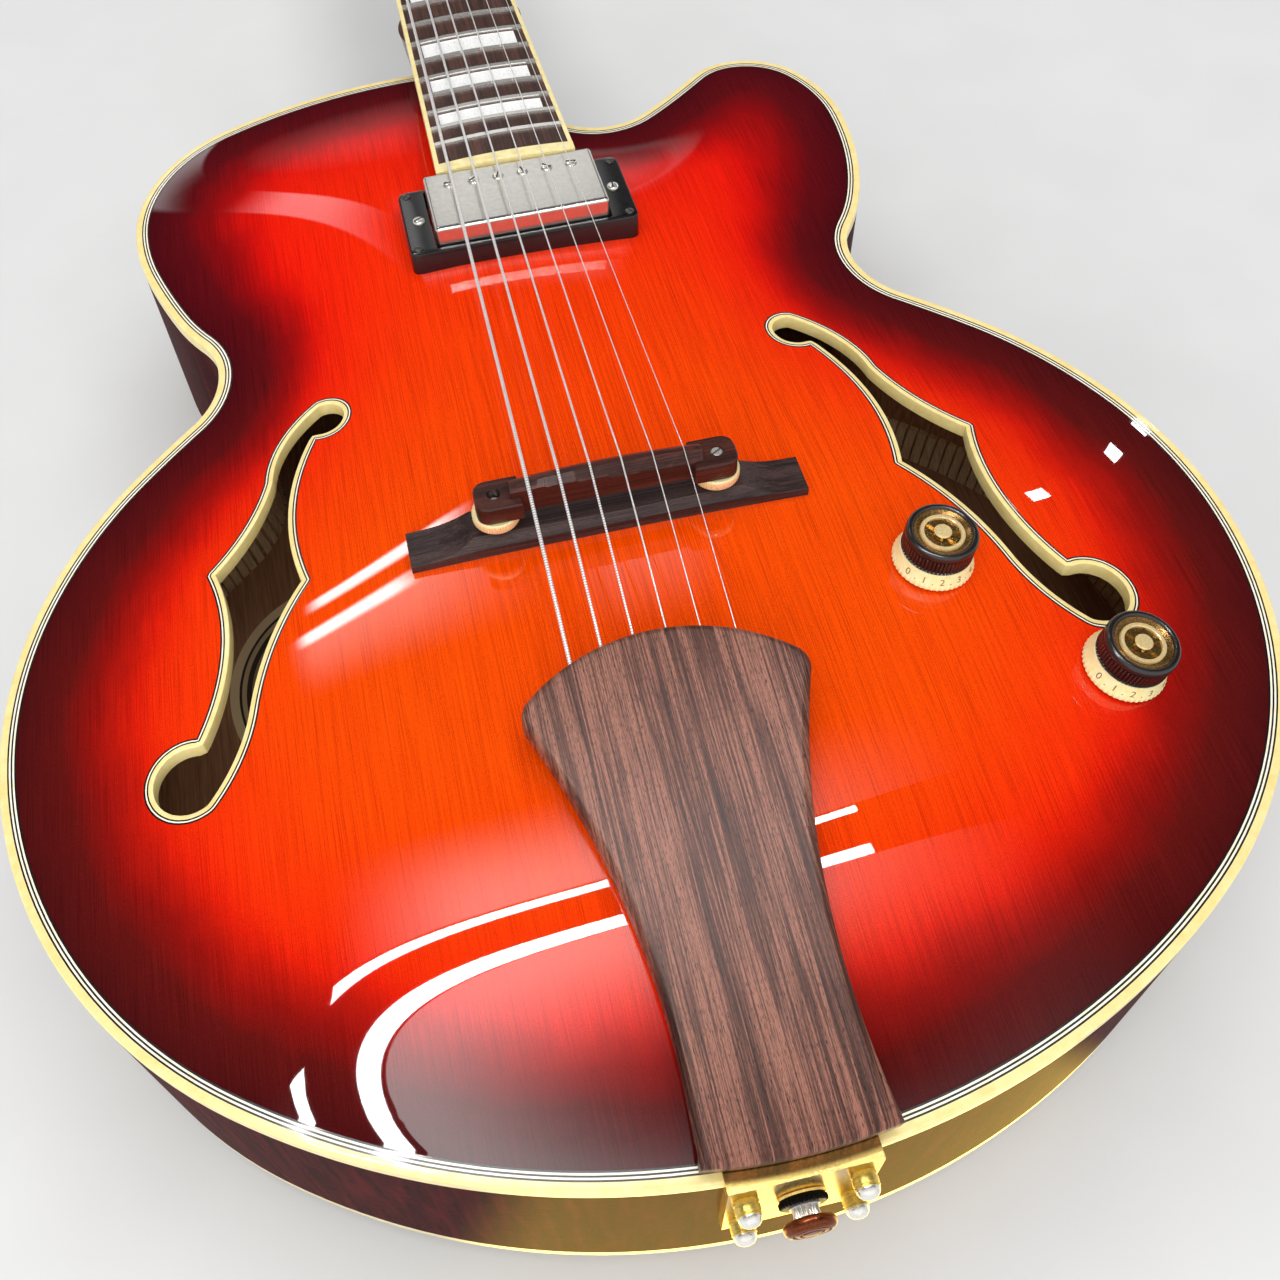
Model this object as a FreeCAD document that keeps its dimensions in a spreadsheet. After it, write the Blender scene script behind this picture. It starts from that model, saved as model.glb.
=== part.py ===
import FreeCAD, Part
import math
import os
import Sketcher

# Archtop guitar with one rounded cutaway, one pickup, a floating bridge and a wooden tailpiece.
# Working frame: X towards the treble side, Y from the saddle to the headstock, Z out of the top,
# with zero at the centre line, at the saddle and at the rim of the top.
# At the end everything moves so that the origin lies under the middle of the guitar on its back.

V = FreeCAD.Vector
UP = V(0, 0, 1)
ALONG = V(0, 1, 0)

# Driving dimensions in millimetres and degrees
DIMENSIONS = {
    # body outline, measured from the saddle and the centre line
    "lower_bout_width": 418, "lower_bout_back": 42, "tail_back": 216,
    "flank_out": 162.5, "flank_up": 69.5, "flank_angle": 46.5,
    "waist_width": 257, "waist_up": 118,
    "hip_out": 143.8, "hip_up": 152.4, "hip_angle": 113,
    "upper_bout_width": 316, "upper_bout_up": 209,
    "heel_up": 292, "tongue_width": 56, "tongue_side_up": 252,
    "horn_bout_out": 154.7, "horn_tip_out": 116, "horn_tip_up": 260.3,
    "cutaway_slope_out": 84, "cutaway_slope_up": 242.5, "cutaway_slope_angle": 216.8,
    "cutaway_out": 54, "cutaway_up": 228.2,
    # body shell
    "rim_depth": 84, "plate_thickness": 5, "rib_thickness": 3, "binding_width": 4,
    "top_arch": 16.5, "back_arch": 15, "arch_reach": 76,
    "lining_width": 6, "lining_height": 14,
    "neck_block_length": 42, "neck_block_width": 44, "tail_block_length": 18, "tail_block_width": 76,
    "tone_bar_width": 8, "tone_bar_height": 11, "tone_bar_out": 46, "tone_bar_up": 128,
    "tone_bar_back": 150, "label_radius": 52, "label_thickness": 0.4, "label_gap": 0.1,
    "label_out": 99.6, "label_up": 18,
    # sound holes
    "f_binding_width": 2,
    # neck, board and frets
    "scale_length": 628, "fret_count": 20, "board_height": 38.35, "board_pitch": 3.14,
    "board_thickness": 6.5, "board_radius": 305, "board_overrun": 17.807604, "nut_width": 43,
    "board_taper": 0.0325, "board_binding": 1.8, "fret_height": 1.1, "fret_width": 2.3,
    "inlay_depth": 1.5, "inlay_end_margin": 3.4, "inlay_side_margin": 8,
    "nut_length": 5, "nut_slot_height": 1.8,
    "neck_depth_nut": 15, "neck_depth_heel": 17.5, "shaft_start_up": 300,
    "heel_foot_gap": 4, "heel_foot_width": 28, "heel_rim_width": 50, "heel_top_reach": 50,
    "heel_rim_reach": 33, "heel_middle_reach": 21, "extension_width": 50, "extension_setback": 4,
    # headstock
    "head_angle": 14, "head_length": 178, "head_thickness": 14, "head_waist": 21.5, "head_ear": 38,
    "head_ear_up": 46, "head_top_width": 82, "head_top_up": 156, "veneer_thickness": 1.5,
    "truss_radius": 2.5, "truss_depth": 8, "truss_start": 305, "truss_overrun": 20,
    "truss_nut_radius": 3.6, "truss_nut_length": 9, "truss_pocket_start": 6, "truss_pocket_width": 11,
    "truss_pocket_length": 30, "truss_pocket_floor": 3, "truss_cover_start": 4, "truss_cover_width": 24,
    "truss_cover_length": 46, "truss_cover_thickness": 2,
    # tuners
    "tuner_first": 44, "tuner_pitch": 40, "tuner_out": 26, "tuner_spread": 1.2,
    "post_radius": 3, "post_height": 15, "gear_radius": 4.2, "gear_thickness": 3, "worm_radius": 2,
    "mesh_gap": 0.3, "running_gap": 0.08, "housing_wall": 2, "housing_height": 9, "lug_length": 6,
    "lug_thickness": 1.5, "button_reach": 50, "button_length": 15, "button_width": 19,
    "button_thickness": 7, "button_round": 2.4, "shaft_radius": 1.7,
    "bushing_radius": 4.6, "bushing_depth": 7, "collar_radius": 6.2, "collar_height": 1.6,
    "screw_radius": 1, "screw_length": 8, "screw_head_radius": 2, "screw_head_height": 1.2, "screw_margin": 1,
    # strings
    "saddle_height": 42, "string_spread_saddle": 52, "string_spread_nut": 36, "string_spread_tail": 52,
    "string_gap": 0.3, "saddle_bend": 8, "nut_bend": 5, "nut_overrun": 1.5, "lead_in": 7,
    "wrap_turns": 3, "wrap_gap": 0.5, "wrap_clearance": 0.35, "wrap_lift": 2,
    # pickup
    "pickup_setback": 19.5, "pickup_tilt": 3.14, "cover_top_height": 28, "pickup_width": 69.5,
    "pickup_length": 37, "cover_wall": 0.8, "cover_depth": 19, "cover_round": 1.6,
    "ring_width": 92, "ring_length": 43, "ring_height": 20, "ring_gap": 0.8, "ring_wall": 3,
    "ring_screw_inset": 3.4, "ring_screw_length_inset": 3.6, "height_screw_out": 39.8,
    "bobbin_length": 15, "bobbin_height": 12, "bobbin_gap": 1, "baseplate_thickness": 1.6,
    "ear_width": 12, "ear_gap": 1,
    "pole_offset": 9.8, "pole_radius": 2.3, "pole_length": 15, "pole_proud": 0.5, "pole_spread": 50,
    # bridge
    "bridge_back": 3, "base_length": 136, "base_width": 15, "base_top": 22.5, "base_block_length": 92,
    "base_end_thickness": 3.5, "base_scoop_rise": 0.6, "base_relief_length": 40, "base_relief": 1.2,
    "stud_spread": 74.4, "stud_radius": 2.1, "stud_top": 36.4, "stud_depth": 5,
    "saddle_bottom": 30, "saddle_bar": 7, "saddle_bar_length": 64, "saddle_crest": 1.6, "saddle_slope": 22,
    "lobe_top": 37, "lobe_width": 13, "lobe_overlap": 2,
    "wheel_radius": 8, "wheel_height": 4, "wheel_gap": 0.3,
    # tailpiece, its bracket and the end pin
    "tail_shift": 2.5, "tailpiece_end": 215, "tailpiece_foot_width": 54, "tailpiece_top_width": 91,
    "tailpiece_corner_back": 82, "tailpiece_crown": 63, "tailpiece_waist_in": 9, "tailpiece_thickness": 9,
    "tailpiece_top_height": 32.5, "tailpiece_foot_height": 12, "tailpiece_round": 2.5,
    "tailpiece_corner_round": 7.5, "tailpiece_foot_bow": 2, "string_bore": 12, "string_bore_gap": 0.25,
    "bracket_width": 42, "bracket_thickness": 3, "bracket_top": 2, "bracket_drop": 40,
    "bracket_lip_gap": 0.6, "bracket_web": 2.4, "hinge_rod_radius": 2.5, "hinge_rod_set": 1.5,
    "bracket_screw_out": 16, "bracket_screw_high": 8, "bracket_screw_low": 31,
    "spacer_radius": 3.6, "spacer_height": 4, "dome_radius": 3.2,
    "end_pin_drop": 17, "pin_shank_radius": 3.2, "pin_shank_length": 16, "lock_nut_radius": 6,
    "lock_nut_height": 3, "pin_neck_radius": 3.9, "pin_neck_length": 3.5, "pin_button_radius": 7.4,
    "pin_button_height": 4,
    # controls and output
    "volume_out": 98.7, "volume_back": 46.2, "tone_out": 144, "tone_back": 95.4,
    "dial_radius": 13.4, "dial_height": 6.2, "dial_brim": 1.2, "dial_gap": 1, "knob_radius": 11.8,
    "knob_height": 8.6,
    "insert_radius": 8.2, "insert_depth": 2.4, "knob_cavity_radius": 8, "knob_cavity_height": 1.2,
    "pot_shaft_radius": 3, "pot_shaft_drop": 12, "pot_shaft_gap": 1, "pot_radius": 12, "pot_height": 9,
    "pot_gap": 1, "bushing_thread_radius": 4.7, "bushing_thread_height": 3.4, "pot_nut_radius": 6.6,
    "pot_nut_height": 1.8, "jack_out": 184, "jack_back": 113, "jack_lift": 0.3,
    "jack_bore_radius": 3.2, "jack_sleeve_radius": 4.8, "jack_flange_radius": 9, "jack_flange_height": 2,
    "jack_length": 24,
}

# Gauges of the strings from the lowest to the highest
STRING_GAUGES = (1.32, 1.07, 0.81, 0.61, 0.43, 0.33)
# Frets whose space carries a block inlay
INLAY_FRETS = (1, 3, 5, 7, 9, 12, 15, 17, 19)
# Width of the lower bout that sound holes, label and controls are drawn for; they spread out with it
DRAWN_BOUT_WIDTH = 418
# Arcs of one sound hole, each through three points, seen on the treble side
F_HOLE_ARCS = (
    ((94.4, 66.5), (80.6, 77), (92, 85.2)),
    ((92, 85.2), (107, 70), (113.5, 50)),
    ((113.5, 50), (122, 30.5), (136.5, 12.5)),
    ((136.5, 12.5), (132.7, -13), (143.5, -54)),
    ((143.5, -54), (161, -67), (141, -78.3)),
    ((141, -78.3), (130.5, -64), (124.5, -48)),
    ((124.5, -48), (115.8, -23), (103, -2)),
    ((103, -2), (105.7, 24), (94.4, 66.5)),
)

doc = FreeCAD.newDocument("archtop_guitar")
sheet = doc.addObject("Spreadsheet::Sheet", "dims")
for row, (alias, value) in enumerate(DIMENSIONS.items(), start=1):
    sheet.set(f"A{row}", alias)
    sheet.set(f"B{row}", str(value))
    sheet.setAlias(f"B{row}", alias)
doc.recompute()


class Sizes:
    """Reads a driving dimension from the sheet by its name."""

    def __getattr__(self, alias):
        return float(sheet.get(alias))


d = Sizes()
nodes = {}
joint_places = {}
# Reach of cuts through a plate, and of slabs over the whole guitar
SPAN = 0.7 * d.rim_depth
WIDE = 2 * d.scale_length
SPREAD = d.lower_bout_width / DRAWN_BOUT_WIDTH
# The board runs on past its last fret, and the pickup sits beyond the end of the board
BOARD_END = d.scale_length * 2 ** (-d.fret_count / 12) - d.board_overrun
PICKUP_UP = BOARD_END - d.pickup_setback


# Small helpers for shapes

def box(x0, x1, y0, y1, z0, z1):
    return Part.makeBox(x1 - x0, y1 - y0, z1 - z0, V(x0, y0, z0))


def layer(z0, z1):
    """Slab between two heights, wider than the guitar."""
    return box(-WIDE, WIDE, -WIDE, WIDE, z0, z1)


def rod(start, direction, radius, length):
    return Part.makeCylinder(radius, length, start, direction)


def prism(wire, z0, z1):
    """Solid between two heights over a closed flat outline."""
    face = Part.Face(wire)
    face.translate(V(0, 0, z0))
    return face.extrude(V(0, 0, z1 - z0))


def union(shapes):
    return shapes[0].multiFuse(list(shapes[1:])).removeSplitter()


def moved(shape, placement):
    copy = shape.copy()
    copy.Placement = placement.multiply(copy.Placement)
    return copy


def place_at(point, rotation=FreeCAD.Rotation()):
    return FreeCAD.Placement(point, rotation)


def line(start, end):
    return Part.LineSegment(start, end).toShape()


def arc(start, middle, end):
    return Part.Arc(start, middle, end).toShape()


def heading(degrees):
    return V(math.cos(math.radians(degrees)), math.sin(math.radians(degrees)), 0)


def arc_from_tangent(start, tangent, end):
    """Arc that leaves start along tangent and ends at end, or the straight line between them."""
    chord = end - start
    along = tangent.dot(chord) / chord.Length
    side = tangent - chord * (along / chord.Length)
    if side.Length < 1e-5:
        return line(start, end)
    half_turn = math.acos(max(-1.0, min(1.0, along)))
    middle = (start + end) * 0.5 + side.normalize() * (0.5 * chord.Length * math.tan(half_turn / 2))
    return arc(start, middle, end)


def biarc(start, tangent_start, end, tangent_end):
    """Two arcs that join smoothly and keep the given directions at both ends."""
    gap = end - start
    both = tangent_start + tangent_end
    bend = 2 * (1 - tangent_start.dot(tangent_end))
    across = gap.dot(both)
    if bend < 1e-9:
        reach = gap.dot(gap) / (4 * gap.dot(tangent_end))
    else:
        reach = (math.sqrt(across * across + bend * gap.dot(gap)) - across) / bend
    joint = (start + end + (tangent_start - tangent_end) * reach) * 0.5
    second = arc_from_tangent(end, tangent_end * -1, joint)
    return [arc_from_tangent(start, tangent_start, joint), second]


def smooth_chain(stations):
    """Arcs through stations given as (x, y, heading in degrees)."""
    edges = []
    for (x0, y0, turn0), (x1, y1, turn1) in zip(stations, stations[1:]):
        edges += biarc(V(x0, y0, 0), heading(turn0), V(x1, y1, 0), heading(turn1))
    return edges


# Parts of the document bound to the sheet

def bind(item, **formulas):
    """Ties properties of a document object to cells, with two underscores standing for a dot."""
    for name, formula in formulas.items():
        item.setExpression(name.replace("__", "."), formula)
    return item


def cylinder(name, radius, height, bottom=None):
    item = bind(doc.addObject("Part::Cylinder", name), Radius=radius, Height=height)
    return bind(item, Placement__Base__z=bottom) if bottom else item


def cone(name, low_radius, high_radius, height, bottom):
    item = doc.addObject("Part::Cone", name)
    return bind(item, Radius1=low_radius, Radius2=high_radius, Height=height, Placement__Base__z=bottom)


def fused(name, items):
    item = doc.addObject("Part::MultiFuse", name)
    item.Shapes = items
    item.Refine = True
    return item


def cut(name, base, tool):
    item = doc.addObject("Part::Cut", name)
    item.Base = base
    item.Tool = tool
    return item


def turned(name, steps, bores=()):
    """Round piece about Z: cylinders given as formulas (radius, height, bottom), fused, less its bores."""
    solids = [cylinder(f"{name}_step_{count}", *step) for count, step in enumerate(steps, start=1)]
    whole = fused(f"{name}_whole", solids) if len(solids) > 1 else solids[0]
    if not bores:
        return whole
    holes = [cylinder(f"{name}_bore_{count}", *bore) for count, bore in enumerate(bores, start=1)]
    return cut(f"{name}_bored", whole, fused(f"{name}_bores", holes) if len(holes) > 1 else holes[0])


def rectangle_body(name, width, length, height):
    """Body with a rectangle centred on its origin, padded upwards."""
    body = doc.addObject("PartDesign::Body", name)
    sketch = body.newObject("Sketcher::SketchObject", name + "_outline")
    plane = next(item for item in body.Origin.OriginFeatures if item.Role == "XY_Plane")
    sketch.AttachmentSupport = [(plane, "")]
    sketch.MapMode = "FlatFace"
    corners = [V(-10, -5, 0), V(10, -5, 0), V(10, 5, 0), V(-10, 5, 0)]
    for index in range(4):
        sketch.addGeometry(Part.LineSegment(corners[index], corners[(index + 1) % 4]), False)
    for index in range(4):
        sketch.addConstraint(Sketcher.Constraint("Coincident", index, 2, (index + 1) % 4, 1))
    for index in (0, 2):
        sketch.addConstraint(Sketcher.Constraint("Horizontal", index))
        sketch.addConstraint(Sketcher.Constraint("Vertical", index + 1))
    sketch.addConstraint(Sketcher.Constraint("Symmetric", 0, 1, 2, 1, -1, 1))
    across = sketch.addConstraint(Sketcher.Constraint("DistanceX", 0, 1, 0, 2, 20.0))
    along = sketch.addConstraint(Sketcher.Constraint("DistanceY", 1, 1, 1, 2, 10.0))
    sketch.setExpression(f"Constraints[{across}]", width)
    sketch.setExpression(f"Constraints[{along}]", length)
    pad = body.newObject("PartDesign::Pad", name + "_pad")
    pad.Profile = sketch
    pad.setExpression("Length", height)
    body.Tip = pad
    return body


def node(label, shape, placement=None):
    """Sub-part with its own name; its shape is in the working frame unless placed."""
    solids = shape.Solids
    item = doc.addObject("Part::Feature", "node_" + label)
    item.Label = label
    whole = solids[0] if len(solids) == 1 else Part.makeCompound(solids)
    item.Shape = whole if placement is None else moved(whole, placement)
    nodes[label] = item


def placed(label, item, placement):
    """Sub-part that is itself an object bound to the sheet, put in its place."""
    item.Label = label
    item.Placement = placement
    nodes[label] = item


def group(label, items, placement=FreeCAD.Placement()):
    """Sub-part of several separate bound solids, given as pairs of object and placement."""
    whole = doc.addObject("Part::Compound", "group_" + label)
    for item, place in items:
        item.Placement = place
    whole.Links = [item for item, place in items]
    placed(label, whole, placement)


# Body outline and arch

def body_outline():
    """Closed outline of the body at the rim, from the tail round the bass side to the cutaway."""
    bout, waist = d.lower_bout_width / 2, d.waist_width / 2
    upper, tongue = d.upper_bout_width / 2, d.tongue_width / 2
    bass = [
        (0, -d.tail_back, 180), (-bout, -d.lower_bout_back, 90), (-d.flank_out, d.flank_up, d.flank_angle),
        (-waist, d.waist_up, 90), (-d.hip_out, d.hip_up, d.hip_angle), (-upper, d.upper_bout_up, 90),
        (-tongue, d.heel_up, 0),
    ]
    treble = [
        (tongue, d.tongue_side_up, 270), (d.cutaway_out, d.cutaway_up, 0),
        (d.cutaway_slope_out, d.cutaway_slope_up, d.cutaway_slope_angle - 180),
        (d.horn_tip_out, d.horn_tip_up, 0), (d.horn_bout_out, d.upper_bout_up, 270),
        (d.hip_out, d.hip_up, 360 - d.hip_angle), (waist, d.waist_up, 270),
        (d.flank_out, d.flank_up, 360 - d.flank_angle), (bout, -d.lower_bout_back, 270),
        (0, -d.tail_back, 180),
    ]
    corner_bass, corner_treble = V(-tongue, d.heel_up, 0), V(tongue, d.heel_up, 0)
    ends = [line(corner_bass, corner_treble), line(corner_treble, V(tongue, d.tongue_side_up, 0))]
    return Part.Wire(Part.__sortEdges__(smooth_chain(bass) + ends + smooth_chain(treble)))


outline = body_outline()
# Points taken on the outline, and the square of a distance that counts as none
RIM_SAMPLES, NEAR = 240, 0.01
rim_points = [(point.x, point.y) for point in outline.discretize(RIM_SAMPLES)]
rim_step = outline.Length / RIM_SAMPLES


def rim_distance(x, y):
    """Smooth distance to the rim: inverse fourth powers summed over the outline, turned back to a length."""
    total = sum(1 / ((x - px) ** 2 + (y - py) ** 2 + NEAR) ** 2 for px, py in rim_points)
    return (math.pi / 2 / (rim_step * total)) ** (1 / 3)


def fullness(x, y):
    """Share of the full arch: none at the rim, rising smoothly to nearly one in the middle."""
    return 1 - math.exp(-(rim_distance(x, y) / d.arch_reach) ** 2)


def top_height(x, y):
    return d.top_arch * fullness(x, y)


# Grid of points that carries the arched surfaces, a margin wider than the body
ARCH_COLUMNS, ARCH_ROWS = 33, 39
ARCH_MARGIN = d.lower_bout_width / 30
arch_x0 = -d.lower_bout_width / 2 - ARCH_MARGIN
arch_y0 = -d.tail_back - ARCH_MARGIN
arch_dx = (d.lower_bout_width + 2 * ARCH_MARGIN) / (ARCH_COLUMNS - 1)
arch_dy = (d.tail_back + d.heel_up + 2 * ARCH_MARGIN) / (ARCH_ROWS - 1)
arch_grid = [
    [fullness(arch_x0 + i * arch_dx, arch_y0 + j * arch_dy) for j in range(ARCH_ROWS)]
    for i in range(ARCH_COLUMNS)
]


def arch_slab(rise, bottom, top):
    """Slab between two heights over the arched surface of the given rise."""
    points = [
        [V(arch_x0 + i * arch_dx, arch_y0 + j * arch_dy, rise * arch_grid[i][j] + bottom)
         for j in range(ARCH_ROWS)] for i in range(ARCH_COLUMNS)
    ]
    surface = Part.BSplineSurface()
    surface.interpolate(points)
    return surface.toShape().extrude(V(0, 0, top - bottom))


def inset(distance):
    return outline.makeOffset2D(-distance) if distance > 0 else outline


def f_hole_wire(side):
    edges = []
    for points in F_HOLE_ARCS:
        edges.append(arc(*[V(side * SPREAD * x, y, 0) for x, y in points]))
    return Part.Wire(edges)


deep = d.rim_depth
edge = d.plate_thickness
top_slab = arch_slab(d.top_arch, -edge, 0)
below_top = arch_slab(d.top_arch, -SPAN, 0)
back_slab = moved(arch_slab(-d.back_arch, 0, edge), place_at(V(0, 0, -deep)))
lowest = deep + d.back_arch * max(max(column) for column in arch_grid)
f_wires = [f_hole_wire(side) for side in (-1, 1)]
f_prisms = [prism(wire, -SPAN, SPAN) for wire in f_wires]
f_openings = [prism(wire.makeOffset2D(-d.f_binding_width), -SPAN, SPAN) for wire in f_wires]


# Frames of the board, the headstock, the pickup and the controls

board_frame = FreeCAD.Placement(V(0, 0, d.board_height), FreeCAD.Rotation(V(1, 0, 0), -d.board_pitch))
head_base = board_frame.multVec(V(0, d.scale_length + d.nut_length, -d.board_thickness))
head_frame = FreeCAD.Placement(head_base, FreeCAD.Rotation(V(1, 0, 0), -d.board_pitch - d.head_angle))
pickup_frame = FreeCAD.Placement(
    V(0, PICKUP_UP, d.cover_top_height), FreeCAD.Rotation(V(1, 0, 0), -d.pickup_tilt))


def control_frame(x, y):
    """Frame on the top at a control, with Z along the normal of the arch."""
    step = d.pot_shaft_radius
    slope_x = (top_height(x + step, y) - top_height(x - step, y)) / (2 * step)
    slope_y = (top_height(x, y + step) - top_height(x, y - step)) / (2 * step)
    normal = V(-slope_x, -slope_y, 1).normalize()
    return FreeCAD.Placement(V(x, y, top_height(x, y)), FreeCAD.Rotation(UP, normal))


controls = {
    "volume": control_frame(SPREAD * d.volume_out, -d.volume_back),
    "tone": control_frame(SPREAD * d.tone_out, -d.tone_back),
}


# Tuner places in the headstock frame: side, distance along and distance out
tuner_places = []
for rank in range(3):
    tuner_places.append((-1, d.tuner_first + rank * d.tuner_pitch, d.tuner_out + rank * d.tuner_spread))
for rank in reversed(range(3)):
    tuner_places.append((1, d.tuner_first + rank * d.tuner_pitch, d.tuner_out + rank * d.tuner_spread))


def board_half(y):
    """Half width of the fingerboard at a distance from the saddle."""
    return (d.nut_width + d.board_taper * (d.scale_length - y)) / 2


def fret_place(number):
    return d.scale_length * 2 ** (-number / 12)


def crown(x):
    """Drop of the radiused board away from its centre line."""
    return d.board_radius - math.sqrt(d.board_radius ** 2 - x * x)


# Strings

def string_points(index):
    """Points of one string: its end in the tailpiece, the saddle, and just past the nut."""
    share = index / 5 - 0.5
    radius = STRING_GAUGES[index] / 2
    x_saddle = share * d.string_spread_saddle
    saddle = V(x_saddle, -d.bridge_back, d.saddle_height - crown(x_saddle) + d.string_gap + radius)
    x_nut = share * d.string_spread_nut
    nut_local = V(x_nut, d.scale_length, d.nut_slot_height - crown(x_nut) + radius)
    nut = board_frame.multVec(nut_local)
    past_nut = nut + (nut - saddle).normalize() * (d.nut_length + d.nut_overrun)
    x_tail = share * d.string_spread_tail
    mouth = tailpiece_frame.multVec(V(x_tail, -tailpiece_edge(x_tail), -d.tailpiece_thickness / 2))
    tail = mouth + (mouth - saddle).normalize() * d.string_bore
    return tail, saddle, nut, past_nut


def tailpiece_edge(x):
    """Distance of the tailpiece's crowned edge from the saddle, in the plane of the tailpiece."""
    half, sag = d.tailpiece_top_width / 2, d.tailpiece_corner_back - d.tailpiece_crown
    radius = (half * half + sag * sag) / (2 * sag)
    return d.tailpiece_crown + radius - math.sqrt(radius * radius - x * x)


# The tailpiece lies in a plane that rises from the tail to the bridge; Y in it is measured from the saddle
tail_rise = math.degrees(math.atan2(
    d.tailpiece_top_height - d.tailpiece_foot_height, d.tailpiece_end - d.tailpiece_crown))
tailpiece_frame = FreeCAD.Placement(
    V(0, -d.tailpiece_crown, d.tailpiece_top_height), FreeCAD.Rotation(V(1, 0, 0), tail_rise))
tailpiece_frame = tailpiece_frame.multiply(place_at(V(0, d.tailpiece_crown, 0)))


def rounded_corner(before, corner, after, radius):
    """End of the first run, arc and start of the second run at a bend of the given radius."""
    first = (before - corner).normalize()
    second = (after - corner).normalize()
    turn = math.pi - first.getAngle(second)
    reach = radius * math.tan(turn / 2)
    return corner + first * reach, corner + second * reach


def string_path(index):
    """Edges of one string from the tailpiece, over saddle and nut, to the last turn on its post."""
    tail, saddle, nut, past_nut = string_points(index)
    side, along, out = tuner_places[index]
    gauge = STRING_GAUGES[index]
    wrap = d.post_radius + d.wrap_clearance + gauge / 2
    post = V(side * out, along, 0)
    arrival = head_frame.inverse().multVec(past_nut)
    flat = V(arrival.x, arrival.y, 0)
    gap = post - flat
    swing = math.asin(wrap / gap.Length)
    ahead = math.atan2(gap.y, gap.x) + side * swing
    touch_angle = ahead + side * math.pi / 2
    pitch = gauge + d.wrap_gap
    top = d.veneer_thickness + d.collar_height + d.wrap_lift + d.wrap_turns * pitch

    def turn_point(angle):
        level = top - pitch * angle / (2 * math.pi)
        spin = touch_angle - side * angle
        return V(post.x + wrap * math.cos(spin), post.y + wrap * math.sin(spin), level)

    def turn_heading(angle):
        spin = touch_angle - side * angle
        fall = -pitch / (2 * math.pi * wrap)
        return V(side * math.sin(spin), -side * math.cos(spin), fall).normalize()

    touch = head_frame.multVec(turn_point(0))
    run = (touch - past_nut).normalize()
    lead = touch - run * d.lead_in
    saddle_in, saddle_out = rounded_corner(tail, saddle, past_nut, d.saddle_bend)
    nut_in, nut_out = rounded_corner(saddle, past_nut, lead, d.nut_bend)
    edges = [
        line(tail, saddle_in),
        arc_from_tangent(saddle_in, (saddle_in - tail).normalize(), saddle_out),
        line(saddle_out, nut_in),
        arc_from_tangent(nut_in, (nut_in - saddle_out).normalize(), nut_out),
        line(nut_out, lead),
    ]
    turned = [lead]
    directions = [(lead - nut_out).normalize()]
    for quarter in range(int(d.wrap_turns * 4) + 1):
        angle = quarter * math.pi / 2
        turned.append(head_frame.multVec(turn_point(angle)))
        directions.append(head_frame.Rotation.multVec(turn_heading(angle)))
    for place in range(len(turned) - 1):
        edges += biarc(turned[place], directions[place], turned[place + 1], directions[place + 1])
    return edges


def tube(edges, radius):
    """One unbroken tube of the given radius along a chain of lines and arcs."""
    path = Part.Wire(edges)
    start = edges[0].valueAt(edges[0].FirstParameter)
    direction = edges[0].tangentAt(edges[0].FirstParameter)
    section = Part.Wire([Part.Circle(start, direction, radius).toShape()])
    return path.makePipeShell([section], True, False)


def self_gap(edges, radius):
    """Least gap between neighbouring turns, measured on points along the path."""
    turns, points_per_turn = int(d.wrap_turns), 40
    edges_per_turn = 2 * 4
    points = Part.Wire(edges[-edges_per_turn * turns:]).discretize(points_per_turn * turns)
    gaps = [
        first.distanceToPoint(second)
        for place, first in enumerate(points) for second in points[place + points_per_turn // 2:]
    ]
    return min(gaps) - 2 * radius


# Body shell

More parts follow.
